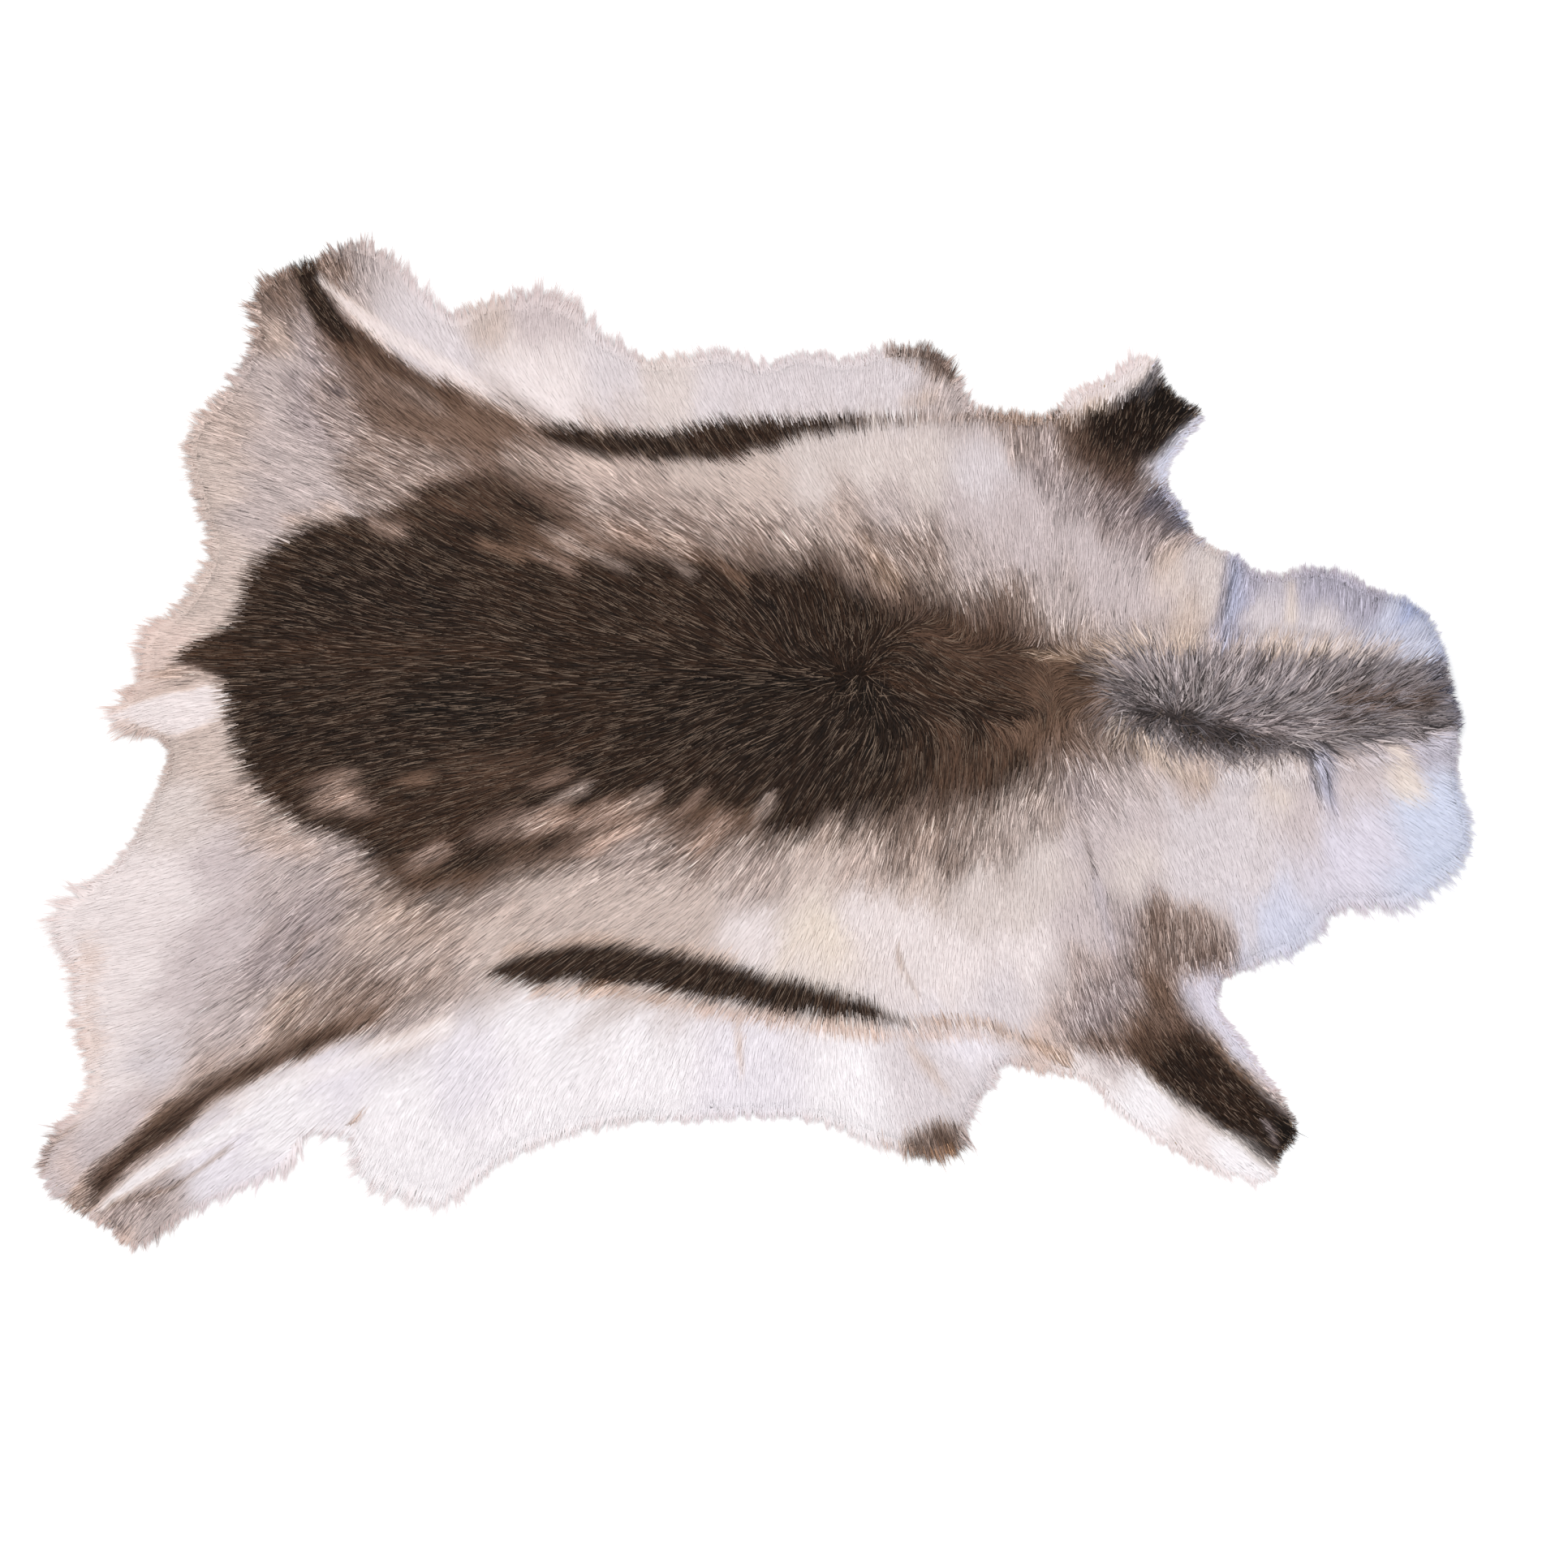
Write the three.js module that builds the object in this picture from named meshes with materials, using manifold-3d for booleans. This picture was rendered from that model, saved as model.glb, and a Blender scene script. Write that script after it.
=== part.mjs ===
// A reindeer hide saddle pad: one whole tanned hide, laid flat with its coat up.
// Millimetres. +X points to the neck, +Y to the animal's left side, +Z up; z = 0 is the surface it lies on.
import * as THREE from "three";
import { mergeVertices } from "three/addons/utils/BufferGeometryUtils.js";
import Module from "manifold-3d";

// Driving sizes
const RIM_DEPTH = 6; // skin and flattened hair at the very edge
const RIM_SLOPE = 34; // how far in from the edge the coat reaches its full depth
const EDGE_STEP = 14; // spacing of points along the smoothed edge
const FIELD_STEP = 18; // spacing of points over the coat
const FIELD_MARGIN = 40; // how far the coat's surface is worked out past the edge table
const CUT_HEIGHT = 60; // taller than any part of the coat

const LOCK_PITCH = 13; // spacing of hair locks along the edge
const LOCK_ROOT = 12; // how far a lock starts inside the edge
const LOCK_WIDTH = 10;
const LOCK_HEIGHT = 5;
const SHORTEST_LOCK = 4; // where the hair passes the edge by less than this, the edge is plain

const HIDE_COLOUR = 0xcdb9ac;
const HIDE_ROUGHNESS = 0.9;

// The skin's edge, clockwise seen from above. Columns: x, y, how far the hair reaches past the skin.
const EDGE = {
  rumpAboveTail: [
    [-580, 30, 8],
    [-546, 60, 14],
    [-553, 74, 14],
    [-549, 101, 8],
    [-526, 117, 6],
    [-508, 139, 6],
    [-491, 181, 4],
    [-504, 225, 3],
    [-512, 262, 6],
    [-510, 285, 7],
    [-484, 313, 8],
    [-464, 341, 6],
  ],
  upperHindLeg: [
    [-452, 385, 4],
    [-457, 408, 3],
    [-441, 427, 2],
    [-400, 440, 2],
    [-374, 454, 3],
    [-360, 457, 3],
    [-336, 442, 6],
    [-303, 407, 6],
    [-280, 388, 6],
  ],
  upperBelly: [
    [-257, 390, 9],
    [-246, 400, 9],
    [-215, 401, 9],
    [-199, 408, 10],
    [-175, 398, 8],
    [-158, 388, 8],
    [-142, 368, 4],
    [-127, 366, 3],
    [-110, 351, 3],
    [-60, 352, 3],
    [-20, 356, 3],
    [3, 344, 3],
    [40, 357, 3],
    [74, 350, 3],
    [96, 352, 3],
    [110, 359, 3],
    [158, 361, 4],
    [180, 342, 4],
    [196, 306, 4],
  ],
  upperFrontLeg: [
    [222, 304, 6],
    [243, 298, 4],
    [272, 303, 4],
    [302, 330, 3],
    [322, 336, 3],
    [356, 358, 2],
    [370, 334, 1],
    [389, 317, 1],
    [410, 306, 2],
    [391, 279, 1],
    [375, 252, 1],
    [374, 236, 1],
    [389, 219, 2],
    [394, 203, 2],
  ],
  upperNeck: [
    [402, 189, 3],
    [418, 180, 3],
    [436, 176, 3],
    [452, 158, 3],
    [474, 156, 3],
    [505, 163, 5],
    [535, 156, 4],
    [549, 148, 2],
    [598, 131, 2],
    [616, 112, 2],
    [626, 80, 2],
    [631, 58, 2],
    [634, 43, 3],
  ],
  neckEnd: [
    [640, 34, 2],
    [637, 5, 2],
    [639, -35, 2],
    [649, -80, 3],
    [642, -97, 6],
  ],
  lowerNeck: [
    [622, -112, 14],
    [597, -128, 14],
    [585, -138, 10],
    [530, -139, 8],
    [503, -164, 10],
    [491, -179, 12],
    [466, -184, 12],
    [452, -195, 8],
    [430, -204, 7],
    [420, -220, 5],
    [420, -234, 2],
  ],
  lowerFrontLeg: [
    [443, -264, 1],
    [481, -320, 1],
    [495, -348, 2],
    [474, -376, 2],
    [473, -394, 3],
    [440, -388, 4],
    [400, -374, 4],
    [352, -344, 4],
    [330, -328, 3],
    [303, -300, 3],
  ],
  lowerBelly: [
    [255, -291, 6],
    [228, -281, 5],
    [217, -291, 5],
    [213, -307, 6],
    [199, -317, 6],
    [190, -347, 6],
    [181, -366, 7],
    [142, -363, 8],
    [97, -349, 6],
    [64, -336, 6],
    [20, -330, 6],
    [-50, -333, 7],
    [-135, -336, 7],
    [-208, -359, 7],
    [-250, -381, 8],
    [-284, -406, 10],
    [-320, -397, 12],
    [-347, -384, 18],
    [-352, -368, 16],
    [-369, -344, 7],
  ],
  lowerHindLeg: [
    [-384, -349, 8],
    [-400, -340, 6],
    [-413, -352, 7],
    [-420, -372, 8],
    [-447, -384, 9],
    [-488, -404, 6],
    [-528, -427, 5],
    [-546, -443, 5],
    [-570, -455, 4],
    [-586, -434, 3],
    [-604, -427, 3],
    [-625, -409, 7],
    [-643, -397, 7],
    [-647, -372, 5],
    [-636, -354, 5],
    [-602, -318, 7],
  ],
  rumpBelowTail: [
    [-601, -290, 8],
    [-612, -240, 12],
    [-612, -215, 11],
    [-607, -197, 12],
    [-628, -170, 17],
    [-625, -152, 12],
    [-594, -123, 7],
    [-570, -92, 4],
    [-546, -46, 4],
    [-532, -5, 3],
    [-540, 11, 4],
    [-574, 20, 6],
  ],
};

// How deep the flattened coat lies. Columns: x, y, depth.
const COAT_DEPTH = [
  [-450, 80, 19],
  [-250, 80, 21],
  [0, 70, 22],
  [200, 60, 22],
  [380, 45, 24],
  [500, 30, 26],
  [600, 30, 22],
  [-400, -100, 19],
  [-150, -80, 19],
  [100, -80, 19],
  [300, -60, 19],
  [-400, 250, 16],
  [-400, 400, 8],
  [-200, 350, 15],
  [0, 320, 14],
  [150, 320, 14],
  [330, 300, 9],
  [380, 270, 7],
  [500, 120, 17],
  [550, -80, 20],
  [480, -140, 18],
  [400, -180, 14],
  [430, -320, 8],
  [350, -300, 10],
  [150, -320, 16],
  [-100, -290, 16],
  [-300, -350, 16],
  [-480, -350, 10],
  [-610, -390, 7],
  [-560, -180, 15],
];

// Ridges and furrows in the coat. Columns: from x, from y, to x, to y, half width, rise (below zero for a furrow).
const FOLDS = [
  [-440, 62, 300, 70, 60, 2.5], // backbone
  [330, 50, 640, 46, 32, 6], // mane
  [395, -6, 520, -8, 22, -5], // under the mane's crest
  [430, 172, 428, 88, 18, -5], // neck crease
  [303, -85, 318, -140, 18, -5], // shoulder crease
  [130, -182, 150, -228, 18, -4], // flank creases
  [-18, -240, -8, -298, 18, -4],
  [-556, -380, -438, -343, 18, -4], // furrow along the lower hind leg
  [-325, -280, -380, -320, 20, -3.5], // soft folds across the legs' inner sides
  [-240, 380, -205, 320, 20, -3.5],
  [-497, -205, -499, -240, 18, -4], // dimples over the lower thigh
  [-425, -135, -418, -200, 20, -3.5],
  [-392, 330, -368, 322, 20, -3.5], // dimple over the upper thigh
];

// Slow swells of a hide that doesn't lie quite flat. Columns: wavelength, heading in degrees, height.
const SWELLS = [
  [310, 25, 1.1],
  [190, 110, 0.9],
  [125, 65, 0.7],
  [90, 150, 0.6],
];

// Where the hair's tips point, in degrees from +X. Columns: x, y, heading.
const HAIR_LIE = [
  [-540, 80, 190],
  [-580, -180, 195],
  [-500, 240, 175],
  [-420, 430, 125],
  [-330, 430, 95],
  [-200, 390, 100],
  [0, 340, 100],
  [180, 320, 60],
  [330, 330, 95],
  [400, 280, 40],
  [500, 150, 85],
  [620, 100, 30],
  [640, -60, 340],
  [600, -120, 315],
  [480, -180, 300],
  [430, -210, 290],
  [480, -360, 310],
  [380, -350, 290],
  [180, -350, 285],
  [0, -320, 268],
  [-200, -350, 262],
  [-340, -380, 235],
  [-480, -400, 240],
  [-620, -410, 235],
];

const degrees = THREE.MathUtils.degToRad;

// A seeded source of numbers from 0 to 1, so that the hide is the same each time.
function seeded(seed) {
  let state = seed;
  return () => {
    state = (state * 16807) % 2147483647;
    return state / 2147483647;
  };
}

// The edge table as one smooth closed curve, whose third coordinate carries the hair's reach.
function edgePoints() {
  const rows = Object.values(EDGE).flat();
  const corners = rows.map(([x, y, hair]) => new THREE.Vector3(x, y, hair));
  const curve = new THREE.CatmullRomCurve3(corners, true, "centripetal");
  curve.arcLengthDivisions = rows.length * 20;
  const steps = Math.round(curve.getLength() / EDGE_STEP);
  return curve.getSpacedPoints(steps).slice(0, steps);
}

// Distance from (x, y) to the segment from (ax, ay) to (bx, by).
function segmentDistance(x, y, ax, ay, bx, by) {
  const dx = bx - ax;
  const dy = by - ay;
  const along = ((x - ax) * dx + (y - ay) * dy) / (dx * dx + dy * dy);
  const t = THREE.MathUtils.clamp(along, 0, 1);
  return Math.hypot(x - ax - t * dx, y - ay - t * dy);
}

function edgeDistance(edge, x, y) {
  let nearest = Infinity;
  edge.forEach((a, i) => {
    const b = edge[(i + 1) % edge.length];
    nearest = Math.min(nearest, segmentDistance(x, y, a.x, a.y, b.x, b.y));
  });
  return nearest;
}

function isInside(edge, x, y) {
  let inside = false;
  edge.forEach((a, i) => {
    const b = edge[(i + 1) % edge.length];
    const crosses = a.y > y !== b.y > y;
    if (crosses && x < a.x + ((y - a.y) / (b.y - a.y)) * (b.x - a.x)) inside = !inside;
  });
  return inside;
}

// The mean of a table's values, each weighted by how near its row is.
function nearbyMean(rows, x, y, valueOf) {
  const softening = 900;
  let sum = 0;
  let weights = 0;
  rows.forEach((row) => {
    const weight = 1 / ((x - row[0]) ** 2 + (y - row[1]) ** 2 + softening) ** 1.5;
    sum += weight * valueOf(row);
    weights += weight;
  });
  return sum / weights;
}

// Height of the coat's surface over the ground.
function coatHeight(edge, x, y) {
  if (!isInside(edge, x, y)) return RIM_DEPTH;
  let depth = nearbyMean(COAT_DEPTH, x, y, (row) => row[2]);
  SWELLS.forEach(([wavelength, heading, height]) => {
    const along = x * Math.cos(degrees(heading)) + y * Math.sin(degrees(heading));
    depth += height * Math.sin((2 * Math.PI * along) / wavelength);
  });
  FOLDS.forEach(([ax, ay, bx, by, halfWidth, rise]) => {
    const away = segmentDistance(x, y, ax, ay, bx, by) / halfWidth;
    depth += rise * Math.exp(-away * away);
  });
  const inward = Math.min(1, edgeDistance(edge, x, y) / RIM_SLOPE);
  const rounded = Math.sqrt(1 - (1 - inward) ** 2);
  return RIM_DEPTH + Math.max(0, depth - RIM_DEPTH) * rounded;
}

// The heading of the hair's tips at (x, y), as a unit vector.
function hairLie(x, y) {
  const part = (wave) => nearbyMean(HAIR_LIE, x, y, (row) => wave(degrees(row[2])));
  return new THREE.Vector2(part(Math.cos), part(Math.sin)).normalize();
}

// A slab as wide as the edge, standing on the ground and taller than the coat.
function edgeSlab(edge) {
  const shape = new THREE.Shape(edge.map((p) => new THREE.Vector2(p.x, p.y)));
  return new THREE.ExtrudeGeometry(shape, { depth: CUT_HEIGHT, bevelEnabled: false });
}

// A box whose top is the coat's surface.
function coatField(edge) {
  const box = new THREE.Box3().setFromPoints(edge);
  const size = box.getSize(new THREE.Vector3());
  const middle = box.getCenter(new THREE.Vector3());
  const width = size.x + 2 * FIELD_MARGIN;
  const height = size.y + 2 * FIELD_MARGIN;
  const columns = Math.round(width / FIELD_STEP);
  const rows = Math.round(height / FIELD_STEP);
  const field = new THREE.BoxGeometry(width, height, CUT_HEIGHT, columns, rows, 1);
  field.translate(middle.x, middle.y, 0);
  const points = field.attributes.position;
  for (let i = 0; i < points.count; i++) {
    if (points.getZ(i) > 0) points.setZ(i, coatHeight(edge, points.getX(i), points.getY(i)));
  }
  return field;
}

// One hair lock: a three-sided spike, level underneath, that narrows twice on its way to its tip.
function lockGeometry(length, width, height, sag) {
  const bend = length * 0.6;
  const half = width / 2;
  const corners = [
    [0, -half, 0],
    [0, half, 0],
    [0, 0, height],
    [bend, -half * 0.7 + sag * 0.4, 0],
    [bend, half * 0.7 + sag * 0.4, 0],
    [bend, sag * 0.4, height * 0.7],
    [length, sag, 0],
  ];
  const faces = [
    [0, 2, 1],
    [0, 1, 4],
    [0, 4, 3],
    [1, 2, 5],
    [1, 5, 4],
    [2, 0, 3],
    [2, 3, 5],
    [3, 4, 6],
    [4, 5, 6],
    [5, 3, 6],
  ];
  const geometry = new THREE.BufferGeometry();
  geometry.setAttribute("position", new THREE.Float32BufferAttribute(corners.flat(), 3));
  geometry.setIndex(faces.flat());
  return geometry;
}

// The locks that pass the edge, a spike for each step along it.
function rimLocks(edge) {
  const random = seeded(20347);
  const between = (low, high) => low + (high - low) * random();
  const stride = LOCK_PITCH / EDGE_STEP;
  const count = Math.floor(edge.length / stride);
  const locks = [];
  for (let k = 0; k < count; k++) {
    const i = Math.floor(k * stride);
    const here = edge[i];
    const next = edge[(i + 1) % edge.length];
    const turn = between(-0.35, 0.35);
    const reach = here.z * between(0.75, 1.15);
    const width = LOCK_WIDTH * between(0.8, 1.15);
    const sag = between(-3, 3);
    if (here.z < SHORTEST_LOCK) continue;
    const outward = new THREE.Vector2(here.y - next.y, next.x - here.x).normalize();
    const lie = hairLie(here.x, here.y);
    const heading = outward.clone().multiplyScalar(1.2).add(lie).angle() + turn * 0.5;
    const aim = new THREE.Vector2(Math.cos(heading), Math.sin(heading));
    const passing = Math.max(0.5, aim.dot(outward));
    const lock = lockGeometry(LOCK_ROOT + reach / passing, width, LOCK_HEIGHT, sag);
    lock.rotateZ(heading);
    lock.translate(here.x - aim.x * LOCK_ROOT, here.y - aim.y * LOCK_ROOT, 0);
    locks.push(lock);
  }
  return locks;
}

const wasm = await Module();
wasm.setup();

// A closed geometry as a solid, its shared vertices merged.
function toSolid(geometry) {
  const bare = geometry.clone();
  bare.deleteAttribute("normal");
  bare.deleteAttribute("uv");
  const merged = mergeVertices(bare, 1e-3);
  const vertProperties = new Float32Array(merged.attributes.position.array);
  const triVerts = new Uint32Array(merged.index.array);
  return new wasm.Manifold(new wasm.Mesh({ numProp: 3, vertProperties, triVerts }));
}

function toGeometry(solid) {
  const { vertProperties, triVerts } = solid.getMesh();
  const geometry = new THREE.BufferGeometry();
  geometry.setAttribute("position", new THREE.BufferAttribute(vertProperties, 3));
  geometry.setIndex(new THREE.BufferAttribute(triVerts, 1));
  geometry.computeVertexNormals();
  return geometry;
}

function reindeerHide() {
  const edge = edgePoints();
  let hide = toSolid(coatField(edge)).intersect(toSolid(edgeSlab(edge)));
  rimLocks(edge).forEach((lock) => {
    hide = hide.add(toSolid(lock));
  });
  const material = new THREE.MeshStandardMaterial({
    color: HIDE_COLOUR,
    roughness: HIDE_ROUGHNESS,
    metalness: 0,
  });
  const mesh = new THREE.Mesh(toGeometry(hide), material);
  mesh.name = "reindeer_hide";
  return mesh;
}

// The part's origin is under the middle of its box.
function centred(mesh) {
  mesh.geometry.computeBoundingBox();
  const middle = mesh.geometry.boundingBox.getCenter(new THREE.Vector3());
  mesh.position.set(-middle.x, -middle.y, 0);
  return mesh;
}

const saddlePad = new THREE.Group();
saddlePad.add(centred(reindeerHide()));

export default saddlePad;
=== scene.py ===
import math

import bmesh
import bpy
import numpy as np
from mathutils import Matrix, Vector
from mathutils.bvhtree import BVHTree
from mathutils.kdtree import KDTree


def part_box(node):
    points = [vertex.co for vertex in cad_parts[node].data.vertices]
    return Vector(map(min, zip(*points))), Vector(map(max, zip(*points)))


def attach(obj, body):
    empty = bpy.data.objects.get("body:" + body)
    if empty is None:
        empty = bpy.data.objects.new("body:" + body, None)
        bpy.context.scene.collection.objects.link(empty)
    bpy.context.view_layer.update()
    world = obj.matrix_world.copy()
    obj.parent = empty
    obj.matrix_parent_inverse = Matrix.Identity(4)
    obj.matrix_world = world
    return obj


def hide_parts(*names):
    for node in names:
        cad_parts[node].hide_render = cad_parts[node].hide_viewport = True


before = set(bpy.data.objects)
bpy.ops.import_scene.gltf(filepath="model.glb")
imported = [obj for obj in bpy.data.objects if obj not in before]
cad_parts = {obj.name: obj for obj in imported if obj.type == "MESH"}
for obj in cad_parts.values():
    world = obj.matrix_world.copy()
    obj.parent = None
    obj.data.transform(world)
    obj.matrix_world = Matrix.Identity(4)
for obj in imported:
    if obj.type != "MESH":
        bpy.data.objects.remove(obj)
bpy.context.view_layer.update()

MM = 0.001
draw = np.random.default_rng(3509)


# Colours

def linear(hex_colour):
    """An sRGB hex colour as linear red, green and blue."""
    parts = [int(hex_colour[i : i + 2], 16) / 255 for i in (0, 2, 4)]
    return [c / 12.92 if c <= 0.04045 else ((c + 0.055) / 1.055) ** 2.4 for c in parts]


# The tones the coat is painted in, mostly reindeer hair's own.
# The bluish ones (blue_white, cool_pearl, frost, sky_grey, ink) also carry painted cool light on the
# right side and painted shade in folds; the dove-grey one is painted shade.
HAIR_TONES = {
    "belly_white": "EEE9EB",
    "cool_white": "E7E1E6",
    "milk": "E6DCDB",
    "cream": "DACECA",
    "pale_fawn": "CFBEB6",
    "fawn": "C3AFA6",
    "grey_fawn": "B5A29A",
    "taupe": "A38C81",
    "brown_taupe": "8D7467",
    "umber": "725848",
    "cocoa": "5B4335",
    "saddle_brown": "462F21",
    "bistre": "362317",
    "sable": "2A190F",
    "peat": "1F1209",
    "warm_cream": "E4D7CC",
    "sand": "CBB49F",
    "tan": "A98C78",
    "rosy_fawn": "CBAEA0",
    "rufous": "A6764C",
    "pearl": "D9D0D2",
    "lilac": "C3BCC6",
    "blue_white": "D2D2E0",
    "cool_pearl": "DAD4DE",
    "frost": "CED2E2",
    "sky_grey": "AAB2D0",
    "shadow_dove": "B6B0BE",
    "ash_pale": "D0C3C3",
    "ash_fawn": "C4B5B2",
    "ash": "B3A3A2",
    "ash_taupe": "988889",
    "rosy_cream": "DAC6BE",
    "slate": "5C5863",
    "mane_grey": "8A7D7D",
    "mane_silver": "B0A4A8",
    "mane_dark": "453B3B",
    "ink": "68708F",
}
TONE = {name: np.array(linear(code)) for name, code in HAIR_TONES.items()}

# The coat's ground tones, laid first. Columns: x, y, tone.
GROUND = {
    "rump": [
        (-545, 78, "rosy_cream"), (-500, 140, "pale_fawn"), (-505, 200, "pale_fawn"),
        (-500, 250, "pale_fawn"), (-482, 290, "fawn"), (-440, 215, "ash_fawn"),
        (-420, 252, "ash_fawn"), (-400, 232, "ash_fawn"), (-515, 58, "fawn"),
        (-500, -10, "pale_fawn"), (-530, -60, "cream"), (-450, -60, "fawn"),
        (-485, -110, "ash_pale"), (-430, -110, "ash_fawn"), (-600, -160, "milk"),
        (-590, -220, "milk"), (-520, -130, "milk"), (-560, -130, "milk"), (-550, -210, "milk"),
    ],
    "thigh below": [
        (-400, -160, "ash"), (-350, -160, "grey_fawn"), (-440, -190, "ash"),
        (-300, -155, "taupe"), (-300, -200, "grey_fawn"), (-360, -225, "taupe"),
        (-240, -140, "grey_fawn"), (-240, -172, "pale_fawn"), (-480, -170, "ash_pale"),
        (-510, -222, "ash_pale"), (-540, -290, "pearl"), (-500, -280, "ash_fawn"),
        (-590, -300, "milk"), (-620, -380, "ash_pale"), (-560, -330, "ash_pale"),
        (-470, -250, "ash_fawn"), (-430, -240, "grey_fawn"),
    ],
    "thigh above": [
        (-440, 300, "ash_fawn"), (-430, 345, "ash_fawn"), (-440, 385, "taupe"),
        (-425, 412, "brown_taupe"), (-390, 345, "ash"), (-390, 300, "ash"),
        (-350, 262, "taupe"), (-300, 258, "taupe"), (-250, 268, "brown_taupe"),
        (-200, 270, "taupe"),
    ],
    "belly below": [
        (-545, -412, "ash_fawn"), (-480, -375, "cool_white"), (-430, -335, "belly_white"),
        (-380, -300, "cool_white"), (-300, -380, "belly_white"), (-330, -340, "belly_white"),
        (-260, -300, "cool_white"), (-200, -270, "belly_white"), (-200, -330, "belly_white"),
        (-100, -300, "belly_white"), (0, -285, "cool_white"), (90, -310, "belly_white"),
        (150, -290, "pearl"), (190, -305, "pearl"), (200, -272, "cool_white"),
        (0, -325, "cool_white"),
    ],
    "belly above": [
        (-300, 385, "pearl"), (-270, 360, "pearl"), (-240, 382, "pale_fawn"), (-210, 350, "milk"),
        (-200, 395, "ash_pale"), (-170, 330, "milk"), (-130, 345, "pearl"), (-80, 335, "cream"),
        (-40, 325, "pearl"), (20, 335, "pearl"), (80, 332, "pearl"), (130, 335, "pearl"),
        (172, 322, "ash_fawn"), (185, 305, "ash_fawn"),
    ],
    "flank below": [
        (-180, -130, "pale_fawn"), (-120, -150, "pale_fawn"), (-180, -88, "brown_taupe"),
        (-120, -92, "grey_fawn"), (-60, -100, "taupe"), (-60, -152, "pale_fawn"),
        (0, -112, "grey_fawn"), (0, -165, "milk"), (60, -108, "pale_fawn"),
        (60, -170, "warm_cream"), (100, -150, "milk"), (100, -100, "fawn"), (140, -88, "taupe"),
        (180, -88, "taupe"), (150, -125, "pale_fawn"), (180, -200, "milk"), (140, -165, "milk"),
        (220, -88, "grey_fawn"), (200, -128, "cream"), (240, -145, "cream"),
        (250, -190, "milk"), (225, -235, "pearl"), (-150, -60, "brown_taupe"),
    ],
    "flank above": [
        (200, 245, "pearl"), (160, 242, "cream"), (120, 225, "ash_fawn"), (150, 272, "cream"),
        (100, 262, "cream"), (50, 242, "cream"), (0, 240, "pale_fawn"), (-50, 245, "pale_fawn"),
        (-100, 242, "fawn"), (-150, 252, "fawn"), (-110, 215, "taupe"), (-60, 200, "taupe"),
        (0, 200, "taupe"), (40, 205, "grey_fawn"), (80, 212, "fawn"), (150, 190, "taupe"),
        (100, 180, "taupe"), (-180, 225, "brown_taupe"), (160, 158, "grey_fawn"),
    ],
    "shoulder below": [
        (260, -102, "cream"), (270, -60, "grey_fawn"), (300, -40, "ash"), (300, -85, "ash_pale"),
        (350, -20, "ash_fawn"), (350, -70, "ash_pale"), (350, -110, "cream"),
        (400, -60, "pearl"), (400, -110, "pearl"), (345, -150, "ash"),
        (300, -170, "ash_pale"), (300, -212, "ash_fawn"), (310, -255, "ash"),
        (300, 5, "taupe"), (350, 10, "brown_taupe"),
    ],
    "shoulder above": [
        (300, 180, "ash_pale"), (250, 172, "ash_pale"), (320, 140, "ash_pale"),
        (280, 140, "ash_fawn"), (232, 140, "taupe"), (200, 165, "ash_fawn"),
        (350, 195, "ash"), (300, 222, "ash"), (250, 225, "ash_pale"),
        (200, 202, "ash_pale"), (220, 262, "pearl"), (245, 288, "grey_fawn"), (262, 262, "ash"),
        (350, 112, "ash_fawn"), (300, 100, "grey_fawn"), (400, 110, "pale_fawn"),
        (410, 150, "cream"), (370, 150, "ash_pale"),
    ],
    # Below the neck, the bluish tones are painted cool light over the hair's own white.
    "neck below": [
        (440, -80, "pearl"), (435, -35, "pearl"), (400, -22, "fawn"), (472, -48, "cream"),
        (500, -68, "ash_pale"), (450, -130, "pearl"), (480, -162, "blue_white"),
        (540, -112, "cool_pearl"), (560, -38, "ash_pale"), (600, -60, "frost"),
        (640, -60, "frost"), (620, -100, "frost"), (600, -15, "lilac"),
        (560, -80, "cool_pearl"), (420, -130, "pearl"),
    ],
    # Above the neck, the dove-grey tone is painted shade and the bluish ones are painted cool light.
    "neck above": [
        (450, 150, "shadow_dove"), (455, 120, "pearl"), (480, 108, "pearl"), (520, 140, "shadow_dove"),
        (520, 105, "pearl"), (560, 132, "shadow_dove"), (575, 105, "blue_white"),
        (600, 118, "sky_grey"), (618, 92, "frost"), (425, 100, "shadow_dove"),
    ],
    # The bluish whites on the front legs are painted cool light over the hair's own white.
    "front legs": [
        (300, 328, "milk"), (335, 345, "blue_white"), (382, 250, "blue_white"),
        (398, 290, "blue_white"), (400, -355, "milk"), (442, -375, "belly_white"),
        (300, -292, "milk"), (350, -318, "belly_white"), (430, -250, "blue_white"),
        (412, -224, "lilac"), (462, -300, "ash_pale"), (255, -275, "rosy_cream"),
    ],
}

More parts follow.
